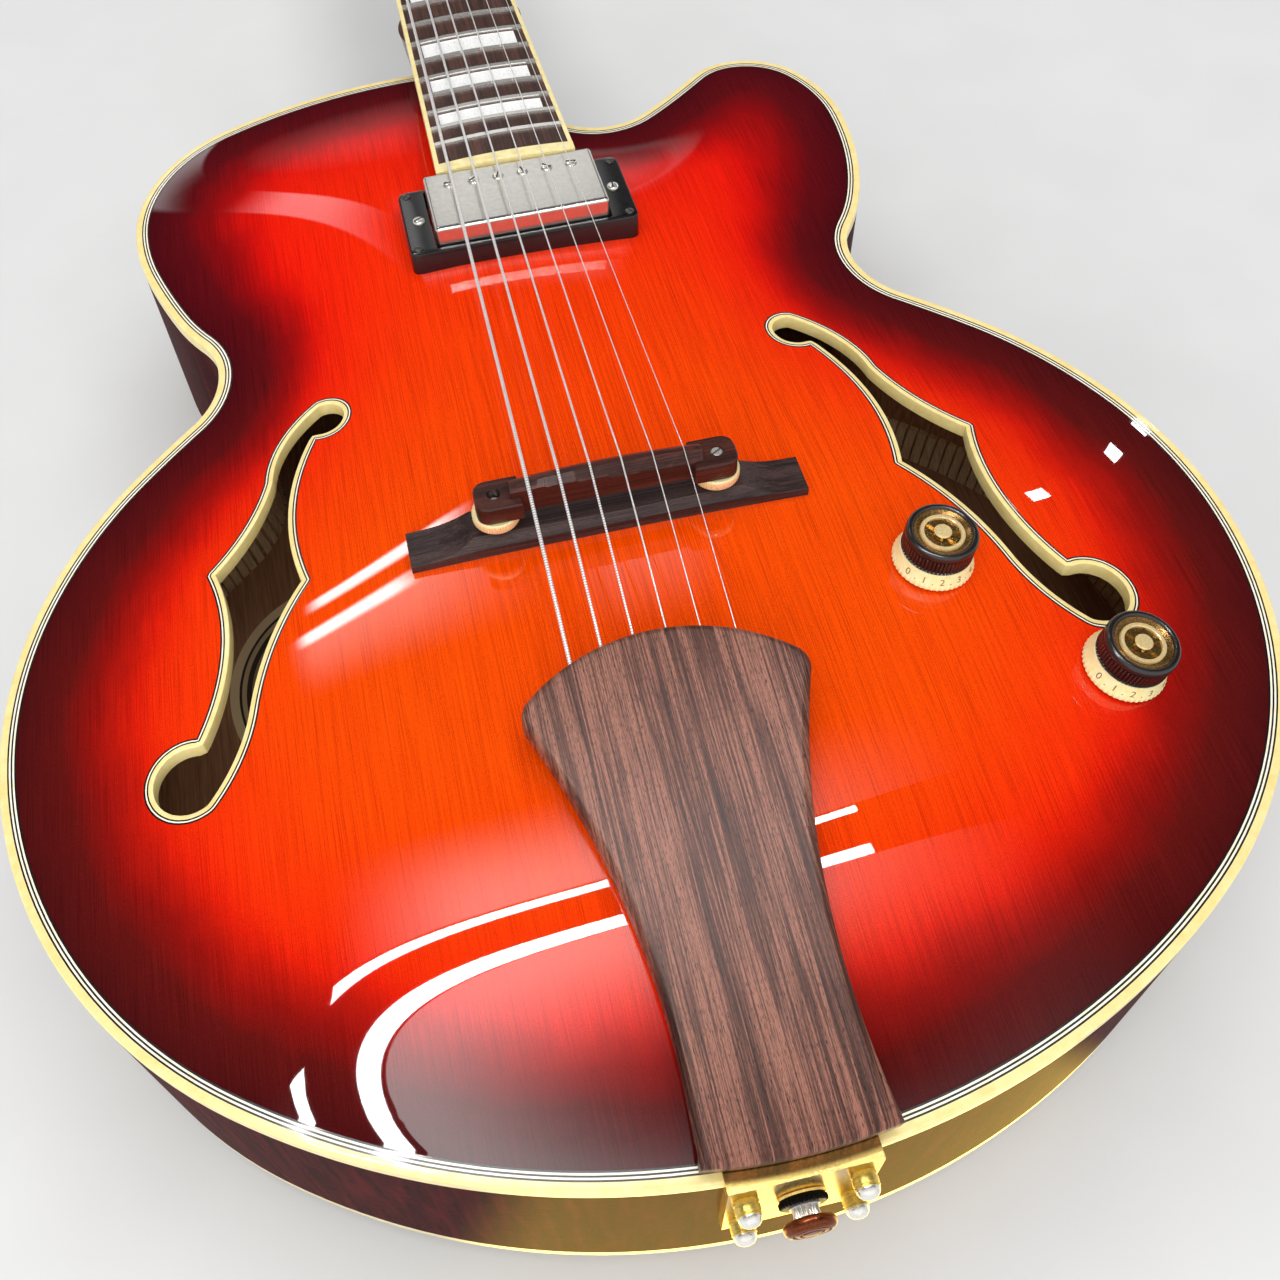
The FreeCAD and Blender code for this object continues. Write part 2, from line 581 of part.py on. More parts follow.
def make_body():
    bound = prism(inset(d.binding_width), -deep - SPAN, SPAN)
    top = top_slab.common(bound).cut(Part.makeCompound(f_prisms))
    top = top.cut(moved(pickup_window(), pickup_frame)).cut(moved(pickup_ears(SPAN), pickup_frame))
    for frame in controls.values():
        top = top.cut(moved(rod(V(0, 0, -SPAN), UP, d.bushing_thread_radius, 2 * SPAN), frame))
    for screw in ring_screw_rods():
        top = top.cut(screw)
    node("top_plate", top)
    node("back_plate", back_slab.common(bound))
    ring = prism(outline, -deep, 0).cut(prism(inset(d.binding_width), -deep, 0))
    rims = [ring.common(layer(low, low + edge)) for low in (-edge, -deep)]
    node("body_binding", Part.makeCompound(rims))
    ribs = prism(outline, -deep + edge, -edge).cut(prism(inset(d.rib_thickness), -deep, 0))
    pin_start = V(d.tail_shift, -d.tail_back - SPAN, -d.end_pin_drop)
    pin_bore = rod(pin_start, ALONG, d.pin_shank_radius, 2 * SPAN)
    screw_bores = [rod(base, ALONG, d.screw_radius, SPAN) for base in bracket_screw_bases()]
    jack_bore = moved(rod(V(0, 0, -SPAN), UP, d.jack_sleeve_radius, 2 * SPAN), jack_frame)
    tail_bores = Part.makeCompound([pin_bore] + screw_bores)
    ribs = ribs.cut(tail_bores).cut(jack_bore)
    bass_half, treble_half = box(-WIDE, 0, -WIDE, WIDE, -deep, 0), box(0, WIDE, -WIDE, WIDE, -deep, 0)
    node("ribs", Part.makeCompound([ribs.common(bass_half), ribs.common(treble_half)]))
    hollow = prism(inset(d.rib_thickness), -deep + edge, -edge)
    neck_box = box(-d.neck_block_width / 2, d.neck_block_width / 2,
                   d.heel_up - d.rib_thickness - d.neck_block_length, d.heel_up, -deep, 0)
    tail_box = box(-d.tail_block_width / 2, d.tail_block_width / 2, -d.tail_back,
                   -d.tail_back + d.rib_thickness + d.tail_block_length, -deep, 0)
    blocks = [hollow.common(neck_box), hollow.common(tail_box).cut(tail_bores)]
    node("end_blocks", Part.makeCompound(blocks))
    inner = prism(inset(d.rib_thickness + d.lining_width), -deep, 0)
    lining = hollow.cut(inner).cut(neck_box).cut(tail_box)
    high = lining.common(layer(-edge - d.lining_height, -edge))
    low = lining.common(layer(-deep + edge, -deep + edge + d.lining_height))
    node("linings", Part.makeCompound(high.Solids + low.Solids))
    bindings = [top_slab.common(whole.cut(hole)) for whole, hole in zip(f_prisms, f_openings)]
    node("f_hole_bindings", Part.makeCompound(bindings))
    under = arch_slab(d.top_arch, -edge - d.tone_bar_height, -edge)
    near, far = d.tone_bar_out - d.tone_bar_width / 2, d.tone_bar_out + d.tone_bar_width / 2
    bars = [under.common(box(low, high, -d.tone_bar_back, d.tone_bar_up, -SPAN, SPAN))
            for low, high in ((-far, -near), (near, far))]
    node("tone_bars", Part.makeCompound(bars))
    disc = rod(V(-SPREAD * d.label_out, d.label_up, -deep - SPAN), UP, d.label_radius, 2 * SPAN)
    seat = edge + d.label_gap
    paper = moved(arch_slab(-d.back_arch, seat, seat + d.label_thickness), place_at(V(0, 0, -deep)))
    node("label", paper.common(disc))


# Neck, fingerboard and headstock

def head_wire(start):
    """Outline of the headstock in its own plane: a waist at the nut, ears, flared sides and a curved top."""
    half, ear, top = d.head_waist, d.head_ear, d.head_top_width / 2
    right = biarc(V(half, 0, 0), V(0, 1, 0), V(ear, d.head_ear_up, 0), V(0, 1, 0))
    left = biarc(V(-half, 0, 0), V(0, 1, 0), V(-ear, d.head_ear_up, 0), V(0, 1, 0))
    corner, crest = V(top, d.head_top_up, 0), V(0, d.head_length, 0)
    far_corner = V(-top, d.head_top_up, 0)
    edges = [
        line(V(-half, start, 0), V(half, start, 0)),
        line(V(ear, d.head_ear_up, 0), corner),
        arc(corner, crest, far_corner),
        line(far_corner, V(-ear, d.head_ear_up, 0)),
    ]
    if start < 0:
        edges += [line(V(half, start, 0), V(half, 0, 0)), line(V(-half, 0, 0), V(-half, start, 0))]
    return Part.Wire(Part.__sortEdges__(edges + right + left))


def shaft_section(y, half, depth):
    """Rounded section of the neck in the board frame, flat at the underside of the board."""
    middle = V(0, y, -d.board_thickness)
    wide, tall = middle + V(half, 0, 0), middle + V(0, 0, -depth)
    bow = Part.Ellipse(wide, tall, middle) if half > depth else Part.Ellipse(tall, wide, middle)
    ring = Part.Face(Part.Wire([bow.toShape()]))
    lower = ring.common(layer(middle.z - 2 * depth, middle.z))
    return lower.Faces[0].OuterWire


def heel_section(z, half, reach):
    """Rounded section of the heel at one height, flat against the body."""
    middle = V(0, d.heel_up, z)
    right, left = middle + V(half, 0, 0), middle - V(half, 0, 0)
    return Part.Wire([arc(right, middle + V(0, reach, 0), left), line(left, right)])


def above_board(end):
    """Space above the underside of the board, as far along as the given end."""
    return moved(box(-WIDE, WIDE, 0, end, -d.board_thickness, WIDE), board_frame)


def make_neck():
    nut_up = d.scale_length + d.nut_length
    shaft = Part.makeLoft([
        shaft_section(d.shaft_start_up, board_half(d.shaft_start_up), d.neck_depth_heel),
        shaft_section(nut_up, d.nut_width / 2, d.neck_depth_nut)], True, True)
    shaft = moved(shaft, board_frame).cut(box(-WIDE, WIDE, 0, d.heel_up, -SPAN, SPAN))
    half, foot, low = board_half(d.heel_up), d.heel_foot_width / 2, deep - d.heel_foot_gap
    heel = Part.makeLoft([
        heel_section(SPAN / 2, half, d.heel_top_reach),
        heel_section(0, d.heel_rim_width / 2, d.heel_rim_reach),
        heel_section(-low / 2, (half + foot) / 2, d.heel_middle_reach),
        heel_section(-low, foot, foot)], True, False)
    start = BOARD_END + d.extension_setback
    tongue = box(-d.extension_width / 2, d.extension_width / 2, start, d.heel_up, 0, SPAN)
    tongue = tongue.cut(below_top).cut(pickup_ring_box(d.ring_gap))
    stem = union([shaft, heel, tongue]).cut(above_board(WIDE))
    plate = moved(prism(head_wire(-d.neck_depth_nut), -d.head_thickness, 0), head_frame)
    neck = union([stem, plate.cut(above_board(nut_up))])
    neck = neck.cut(truss_channel()).cut(moved(truss_pocket(), head_frame))
    for bore in head_bores():
        neck = neck.cut(moved(bore, head_frame))
    node("neck", neck)


def truss_line():
    start = board_frame.multVec(V(0, d.truss_start, -d.board_thickness - d.truss_depth))
    along = board_frame.Rotation.multVec(ALONG)
    length = d.scale_length + d.nut_length - d.truss_start
    return start, along, length


def truss_channel():
    start, along, length = truss_line()
    return rod(start, along, d.truss_radius + d.running_gap, length + d.truss_pocket_length)


def truss_pocket():
    half, start = d.truss_pocket_width / 2, d.truss_pocket_start
    floor = d.truss_pocket_floor - d.head_thickness
    return box(-half, half, start, start + d.truss_pocket_length, floor, 2 * d.veneer_thickness)


def make_truss():
    start, along, length = truss_line()
    reach = length + d.truss_overrun
    bar = rod(start, along, d.truss_radius, reach)
    nut = rod(start + along * (reach - d.truss_nut_length), along, d.truss_nut_radius, d.truss_nut_length)
    node("truss_rod", union([bar, nut]))


def head_bores():
    """Holes through the headstock for posts, bushings and screws, in the headstock frame."""
    bores = []
    for side, along, out in tuner_places:
        place = V(side * out, along, 0)
        bores.append(rod(place - UP * SPAN, UP, d.post_radius + 4 * d.running_gap, 2 * SPAN))
        bores.append(rod(place - UP * d.bushing_depth, UP, d.bushing_radius, SPAN))
        lug = V(side * out, along - lug_middle(), -d.head_thickness)
        bores.append(rod(lug, UP, d.screw_radius, d.screw_length))
    for offset in cover_screws():
        bores.append(rod(offset - UP * d.screw_length, UP, d.screw_radius, 2 * d.screw_length))
    return bores


def board_wire(near, strip):
    """Outline of the board from a near end to the nut, drawn in by the width of a strip at each side."""
    far = d.scale_length
    left, right = V(-board_half(near) + strip, near, 0), V(board_half(near) - strip, near, 0)
    far_right, far_left = V(board_half(far) - strip, far, 0), V(-board_half(far) + strip, far, 0)
    return Part.makePolygon([left, right, far_right, far_left, left])


def make_board():
    far = d.scale_length
    reach = d.board_radius
    strip = d.board_binding
    barrel = rod(V(0, 0, -reach), ALONG, reach, WIDE)
    crowned = prism(board_wire(BOARD_END, 0), -d.board_thickness, SPAN).common(barrel)
    core = prism(board_wire(BOARD_END + strip, strip), -d.board_thickness, SPAN)
    blocks = []
    for number in INLAY_FRETS:
        low, high = fret_place(number), fret_place(number - 1)
        half = board_half((low + high) / 2) - d.inlay_side_margin
        margin = d.inlay_end_margin
        blocks.append(box(-half, half, low + margin, high - margin, -d.inlay_depth, SPAN).common(barrel))
    node("fingerboard", crowned.common(core).cut(Part.makeCompound(blocks)), board_frame)
    node("fingerboard_binding", crowned.cut(core), board_frame)
    node("position_inlays", Part.makeCompound(blocks), board_frame)
    frets = []
    for number in range(1, int(d.fret_count) + 1):
        y = fret_place(number)
        half = board_half(y) - strip
        low = V(half, y - d.fret_width / 2, -crown(half))
        high = low + UP * d.fret_height
        mirror = V(-2 * half, 0, 0)
        section = Part.Wire([
            arc(low + mirror, V(0, low.y, 0), low), line(low, high),
            arc(high, V(0, low.y, d.fret_height), high + mirror), line(high + mirror, low + mirror)])
        frets.append(Part.Face(section).extrude(ALONG * d.fret_width))
    node("frets", Part.makeCompound(frets), board_frame)
    lift = d.nut_slot_height + STRING_GAUGES[-1]
    hill = rod(V(0, 0, -reach), ALONG, reach + lift, WIDE)
    nut = box(-d.nut_width / 2, d.nut_width / 2, far, far + d.nut_length, -d.board_thickness, SPAN)
    nut = moved(nut.common(hill), board_frame)
    for index, gauge in enumerate(STRING_GAUGES):
        tail, saddle, place, past = string_points(index)
        run = (past - saddle).normalize()
        slot = rod(place - run * d.nut_length, run, gauge / 2 + d.running_gap, 3 * d.nut_length)
        nut = nut.cut(slot)
    node("nut", nut)


def cover_screws():
    """Places of the three screws of the truss rod cover in the headstock frame."""
    inset_screw = d.screw_head_radius + d.screw_margin
    low = d.truss_cover_start + inset_screw
    high = d.truss_cover_start + d.truss_cover_length - inset_screw
    side = d.truss_cover_width / 2 - inset_screw
    return [V(-side, low, 0), V(side, low, 0), V(0, high, 0)]


def wood_screw(name):
    """Round-headed screw with its shank below the origin."""
    shank = ("dims.screw_radius", "dims.screw_length", "-dims.screw_length")
    return turned(name, [shank, ("dims.screw_head_radius", "dims.screw_head_height")])


def make_head_fittings():
    veneer = prism(head_wire(0), 0, d.veneer_thickness).cut(truss_pocket())
    for bore in head_bores():
        veneer = veneer.cut(bore)
    clear = moved(above_board(d.scale_length + d.nut_length), head_frame.inverse())
    node("headstock_veneer", veneer.cut(clear), head_frame)
    cover = rectangle_body(
        "cover_plate", "dims.truss_cover_width", "dims.truss_cover_length", "dims.truss_cover_thickness")
    doc.recompute()
    middle = V(0, d.truss_cover_start + d.truss_cover_length / 2, d.veneer_thickness)
    plate = moved(cover.Shape, place_at(middle))
    for offset in cover_screws():
        plate = plate.cut(rod(offset, UP, d.screw_radius, SPAN))
    node("truss_rod_cover", plate, head_frame)
    lift = UP * (d.veneer_thickness + d.truss_cover_thickness)
    seats = [place_at(offset + lift) for offset in cover_screws()]
    turned_over = FreeCAD.Rotation(V(1, 0, 0), 180)
    for side, along, out in tuner_places:
        seat = V(side * out, along - lug_middle(), -d.head_thickness - d.lug_thickness)
        seats.append(place_at(seat, turned_over))
    screws = [(wood_screw(f"head_screw_{count}"), seat) for count, seat in enumerate(seats, start=1)]
    group("headstock_screws", screws, head_frame)


# Tuners, in a frame on the back of the headstock at each post

def lug_middle():
    return housing_half() + d.lug_length / 2


def housing_half():
    return d.gear_radius + d.mesh_gap + d.housing_wall


def worm_offset():
    return d.gear_radius + d.mesh_gap + d.worm_radius


def worm_drop():
    return d.head_thickness + d.housing_height - d.housing_wall - d.gear_thickness / 2


def tuner_case(side):
    """Housing of one tuner about its post: box and lug, hollowed for gear, worm, post and screw."""
    half = housing_half()
    back = -d.head_thickness
    floor = back - d.housing_height
    far = worm_offset() + d.worm_radius + d.housing_wall
    lug_half = d.screw_head_radius + d.screw_margin
    lug = box(-lug_half, lug_half, -half - d.lug_length, -half + d.housing_wall, back - d.lug_thickness, back)
    case = union([box(-half, half, -half, far, floor, back), lug])
    gear_floor = floor + d.housing_wall
    cavity = rod(V(0, 0, gear_floor - d.mesh_gap), UP, d.gear_radius + d.mesh_gap,
                 d.gear_thickness + 2 * d.mesh_gap)
    tunnel = rod(worm_end(side), V(side, 0, 0), d.worm_radius + d.running_gap, SPAN)
    shaft = rod(V(0, 0, gear_floor), UP, d.post_radius + d.running_gap, SPAN)
    hole = rod(V(0, -lug_middle(), back - SPAN), UP, d.screw_radius, 2 * SPAN)
    return case.cut(cavity).cut(tunnel).cut(shaft).cut(hole)


def worm_end(side):
    """Inner end of the worm's tunnel, from the post."""
    return V(-side * (housing_half() - d.housing_wall), worm_offset(), -worm_drop())


def tuner_key(name):
    """Worm, shaft and oval button of one tuner, along Z."""
    oval = Part.Face(Part.Wire([Part.Ellipse(V(), d.button_width / 2, d.button_length / 2).toShape()]))
    solid = oval.extrude(UP * d.button_thickness)
    solid = solid.makeFillet(d.button_round, solid.Edges)
    middle = d.button_reach - d.tuner_out + d.button_length / 2
    upright = place_at(V(0, d.button_thickness / 2, middle), FreeCAD.Rotation(V(1, 0, 0), 90))
    button = doc.addObject("Part::Feature", name + "_oval")
    button.Shape = moved(solid, upright)
    worm = cylinder(name + "_worm", "dims.worm_radius", "2 * dims.gear_radius + 2 * dims.mesh_gap")
    shaft = cylinder(name + "_shaft", "dims.shaft_radius",
                     "dims.button_reach - dims.tuner_out + dims.button_length / 2")
    return fused(name, [worm, shaft, button])


def tuner_post(name):
    """Post with its gear at the bottom."""
    above_gear = "dims.housing_height - dims.housing_wall + dims.head_thickness"
    stem = ("dims.post_radius", above_gear + " + dims.veneer_thickness + dims.post_height")
    return turned(name, [stem, ("dims.gear_radius", "dims.gear_thickness")])


def tuner_bushing(name):
    """Sleeve in the headstock with a collar on its face, bored for the post."""
    sleeve = ("dims.bushing_radius", "dims.bushing_depth + dims.veneer_thickness", "-dims.bushing_depth")
    collar = ("dims.collar_radius", "dims.collar_height", "dims.veneer_thickness")
    bore = ("dims.post_radius + dims.running_gap",
            "dims.bushing_depth + dims.veneer_thickness + dims.collar_height", "-dims.bushing_depth")
    return turned(name, [sleeve, collar], [bore])


def make_tuners():
    housings, bushings = [], []
    gear_floor = d.housing_wall - d.housing_height - d.head_thickness
    for number, (side, along, out) in enumerate(tuner_places, start=1):
        post = V(side * out, along, 0)
        housings.append(moved(tuner_case(side), place_at(post)))
        bushings.append((tuner_bushing(f"bushing_{number}"), place_at(post)))
        foot = head_frame.multiply(place_at(post + UP * gear_floor))
        placed(f"tuner_post_{number}", tuner_post(f"post_{number}"), foot)
        joint_places[f"tuner_post_{number}"] = (foot.Base, head_frame.Rotation.multVec(UP))
        start = post + worm_end(side) + V(side * d.mesh_gap, 0, 0)
        key = head_frame.multiply(place_at(start, FreeCAD.Rotation(UP, V(side, 0, 0))))
        placed(f"tuner_button_{number}", tuner_key(f"key_{number}"), key)
        joint_places[f"tuner_button_{number}"] = (key.Base, key.Rotation.multVec(UP))
    node("tuner_housings", Part.makeCompound(housings), head_frame)
    group("tuner_bushings", bushings, head_frame)


# Pickup

def pickup_ring_box(gap):
    """Space of the pickup's ring, grown by a gap, in the working frame."""
    half, long = d.ring_width / 2 + gap, d.ring_length / 2 + gap
    return moved(box(-half, half, -long, long, -SPAN, d.ring_height - d.cover_top_height + gap), pickup_frame)


def ring_screw_rods():
    """Shanks of the ring's corner screws in the working frame."""
    rods = []
    for place in ring_corners():
        rods.append(moved(rod(place - UP * SPAN, UP, d.screw_radius, SPAN), pickup_frame))
    return rods


def ring_corners():
    x = d.ring_width / 2 - d.ring_screw_inset
    y = d.ring_length / 2 - d.ring_screw_length_inset
    return [V(sx * x, sy * y, d.ring_height - d.cover_top_height) for sx in (-1, 1) for sy in (-1, 1)]


def pickup_window():
    """Opening for the pickup in the ring and the top, in the pickup frame."""
    half, long = d.pickup_width / 2 + d.ring_gap, d.pickup_length / 2 + d.ring_gap
    return box(-half, half, -long, long, -SPAN, SPAN)


def pickup_ears(top):
    """Space for the ears that carry the height screws, up to a height in the pickup frame."""
    half, long = d.height_screw_out + d.ear_width / 2, d.ear_width / 2
    return box(-half, half, -long, long, -SPAN, top)


def make_pickup_ring(bolts):
    level = d.ring_height - d.cover_top_height
    ring = pickup_ring_box(0).cut(below_top)
    ring = ring.cut(moved(pickup_window(), pickup_frame))
    ring = ring.cut(moved(pickup_ears(level - d.ring_wall), pickup_frame))
    bores = [moved(rod(bolt - UP * SPAN, UP, d.screw_radius, 2 * SPAN), pickup_frame) for bolt in bolts]
    node("pickup_ring", ring.cut(Part.makeCompound(ring_screw_rods() + bores)))
    screws = []
    for count, corner in enumerate(ring_corners(), start=1):
        screws.append((wood_screw(f"ring_screw_{count}"), place_at(corner)))
    for count, bolt in enumerate(bolts, start=1):
        shank = ("dims.screw_radius", "dims.cover_depth", "-dims.cover_depth")
        screw = turned(f"height_screw_{count}", [shank, ("dims.screw_head_radius", "dims.screw_head_height")])
        screws.append((screw, place_at(bolt)))
    group("pickup_screws", screws, pickup_frame)


def make_pickup_cover(holes):
    outer = rectangle_body("cover_outer", "dims.pickup_width", "dims.pickup_length", "dims.cover_depth")
    inner = rectangle_body("cover_inner", "dims.pickup_width - 2 * dims.cover_wall",
                           "dims.pickup_length - 2 * dims.cover_wall", "dims.cover_depth - dims.cover_wall")
    doc.recompute()
    sunk = place_at(V(0, 0, -d.cover_depth))
    shell, inside = moved(outer.Shape, sunk), moved(inner.Shape, sunk)
    upper = [item for item in shell.Edges if item.BoundBox.ZMin > -d.cover_depth / 2]
    upright = [item for item in shell.Edges if item.BoundBox.ZLength > d.cover_depth / 2]
    rounded = shell.makeFillet(d.cover_round, upper + upright)
    node("pickup_cover", rounded.cut(inside).cut(holes), pickup_frame)


def make_pickup():
    bolts = [V(side * d.height_screw_out, 0, d.ring_height - d.cover_top_height) for side in (-1, 1)]
    poles = [V(d.pole_spread * (index / 5 - 0.5), d.pole_offset, 0) for index in range(6)]
    holes = Part.makeCompound([rod(place - UP * SPAN, UP, d.pole_radius, 2 * SPAN) for place in poles])
    make_pickup_ring(bolts)
    make_pickup_cover(holes)
    floor = -d.cover_depth
    half, long = d.pickup_width / 2 - d.cover_wall, d.pickup_length / 2 - d.cover_wall
    ear = d.ear_width / 2 - d.ear_gap
    ear_out = d.height_screw_out + ear
    plate = union([box(-half, half, -long, long, floor - d.baseplate_thickness, floor),
                   box(-ear_out, ear_out, -ear, ear, floor - d.baseplate_thickness, floor)])
    for bolt in bolts:
        plate = plate.cut(rod(bolt - UP * SPAN, UP, d.screw_radius, 2 * SPAN))
    node("pickup_baseplate", plate, pickup_frame)
    wide, long = half - d.bobbin_gap, d.bobbin_length / 2
    bobbins = [
        box(-wide, wide, middle - long, middle + long, floor, floor + d.bobbin_height).cut(holes)
        for middle in (-d.pole_offset, d.pole_offset)
    ]
    node("pickup_bobbins", Part.makeCompound(bobbins), pickup_frame)
    pegs = []
    for count, place in enumerate(poles, start=1):
        peg = cylinder(f"pole_{count}", "dims.pole_radius", "dims.pole_length + dims.pole_proud")
        pegs.append((peg, place_at(place - UP * d.pole_length)))
    group("pickup_pole_screws", pegs, pickup_frame)


# Bridge

def stud_places():
    return [V(side * d.stud_spread / 2, -d.bridge_back, 0) for side in (-1, 1)]


def make_bridge():
    half, block = d.base_length / 2, d.base_block_length / 2
    end_top = top_height(half, -d.bridge_back) + d.base_end_thickness
    scoop = (half + block) / 2
    dip = end_top + d.base_scoop_rise
    near = -d.bridge_back - d.base_width / 2
    points = [V(-half, near, 0), V(-half, near, end_top), V(-block, near, d.base_top),
              V(block, near, d.base_top), V(half, near, end_top), V(half, near, 0)]
    edges = [
        line(points[0], points[1]), arc(points[1], V(-scoop, near, dip), points[2]),
        line(points[2], points[3]), arc(points[3], V(scoop, near, dip), points[4]),
        line(points[4], points[5]), line(points[5], points[0]),
    ]
    base = Part.Face(Part.Wire(edges)).extrude(ALONG * d.base_width).cut(below_top)
    relief_half = d.base_relief_length / 2
    relief = arch_slab(d.top_arch, -d.base_relief, d.base_relief)
    base = base.cut(relief.common(box(-relief_half, relief_half, -SPAN, SPAN, 0, SPAN)))
    foot = d.base_top - d.stud_depth
    studs = [rod(place + UP * foot, UP, d.stud_radius, d.stud_top - foot) for place in stud_places()]
    node("bridge_base", base.cut(Part.makeCompound(studs)))
    node("bridge_posts", Part.makeCompound(studs))
    node("bridge_saddle", saddle_shape())
    for name, stud in zip(("bass", "treble"), stud_places()):
        place = stud + UP * (d.saddle_bottom - d.wheel_gap - d.wheel_height)
        bore = ("dims.stud_radius + dims.running_gap", "dims.wheel_height")
        wheel = turned(f"wheel_{name}", [("dims.wheel_radius", "dims.wheel_height")], [bore])
        placed(f"thumbwheel_{name}", wheel, place_at(place))
        joint_places[f"thumbwheel_{name}"] = (place, UP)


def saddle_shape():
    """Ridged bar, crowned like the board, between two rounded lobes that ride on the studs."""
    half, wide = d.saddle_bar_length / 2, d.saddle_bar / 2
    crest = d.saddle_crest / 2
    fall = (wide - crest) * math.tan(math.radians(d.saddle_slope))
    low = 0.5 * d.saddle_bottom
    section = [(-wide, low), (wide, low), (wide, d.saddle_height - fall), (crest, d.saddle_height),
               (-crest, d.saddle_height), (-wide, d.saddle_height - fall), (-wide, low)]
    ridge = Part.Face(Part.makePolygon([V(0, y - d.bridge_back, z) for y, z in section]))
    axis = V(0, 0, d.saddle_height - d.board_radius)
    sweep = 2 * math.degrees(math.asin(d.saddle_bar_length / d.board_radius))
    ridge.rotate(axis, ALONG, -sweep / 2)
    bar = ridge.revolve(axis, ALONG, sweep)
    bar = bar.common(box(-half, half, -SPAN, SPAN, d.saddle_bottom, SPAN))
    lobe = d.lobe_width / 2
    pieces = [bar]
    for place in stud_places():
        side = 1 if place.x > 0 else -1
        low, high = sorted((side * (half - d.lobe_overlap), place.x))
        pieces.append(rod(place + UP * d.saddle_bottom, UP, lobe, d.lobe_top - d.saddle_bottom))
        pieces.append(box(low, high, place.y - lobe, place.y + lobe, d.saddle_bottom, d.lobe_top))
    whole = union(pieces)
    for place in stud_places():
        whole = whole.cut(rod(place, UP, d.stud_radius + d.running_gap, SPAN))
    return whole


# Tailpiece and end pin

def make_tailpiece():
    foot, top = d.tailpiece_foot_width / 2, d.tailpiece_top_width / 2
    low, corner = -d.tailpiece_end, -d.tailpiece_corner_back
    shift = d.tail_shift
    left, right = V(shift - foot, low, 0), V(shift + foot, low, 0)
    high_left, high_right = V(-top, corner, 0), V(top, corner, 0)
    inward = V(d.tailpiece_waist_in, 0, 0)
    edges = [
        arc(left, V(shift, low - d.tailpiece_foot_bow, 0), right),
        arc(right, (right + high_right) * 0.5 - inward, high_right),
        arc(high_right, V(0, -d.tailpiece_crown, 0), high_left),
        arc(high_left, (left + high_left) * 0.5 + inward, left),
    ]
    plate = prism(Part.Wire(edges), -d.tailpiece_thickness, 0)
    upright = [item for item in plate.Edges if item.BoundBox.ZLength > d.tailpiece_thickness / 2
               and item.BoundBox.YMin > 1.5 * corner]
    plate = plate.makeFillet(d.tailpiece_corner_round, upright)
    upper = [item for item in plate.Edges if item.BoundBox.ZMin > -d.tailpiece_thickness / 2]
    plate = plate.makeFillet(d.tailpiece_round, upper)
    plate = moved(plate, tailpiece_frame)
    for index, gauge in enumerate(STRING_GAUGES):
        tail, saddle = string_points(index)[:2]
        run = (tail - saddle).normalize()
        end = tail + run * d.string_bore_gap
        plate = plate.cut(rod(end, run * -1, gauge / 2 + d.string_bore_gap, 3 * d.string_bore))
    slot_start = hinge_place() - V(d.bracket_width, 0, 0)
    node("tailpiece", plate.cut(rod(slot_start, V(1, 0, 0), d.hinge_rod_radius, 2 * d.bracket_width)))


def hinge_place():
    """Middle of the hinge rod that carries the foot of the tailpiece."""
    height = d.hinge_rod_set - d.tailpiece_thickness
    return tailpiece_frame.multVec(V(d.tail_shift, 2 * d.hinge_rod_radius - d.tailpiece_end, height))


def bracket_screw_bases():
    """Starts of the bracket's screw shanks on the tail, in the working frame."""
    front = -d.tail_back - d.bracket_thickness
    return [V(d.tail_shift + side * d.bracket_screw_out, front, -drop)
            for side in (-1, 1) for drop in (d.bracket_screw_high, d.bracket_screw_low)]


def dome_screw(name):
    """Screw with a domed head on a round spacer, its shank below the origin."""
    dome = doc.addObject("Part::Sphere", name + "_dome")
    bind(dome, Radius="dims.dome_radius", Placement__Base__z="dims.spacer_height")
    spacer = cylinder(name + "_spacer", "dims.spacer_radius", "dims.spacer_height")
    shank = cylinder(name + "_shank", "dims.screw_radius", "2 * dims.screw_length", "-2 * dims.screw_length")
    return fused(name, [spacer, dome, shank])


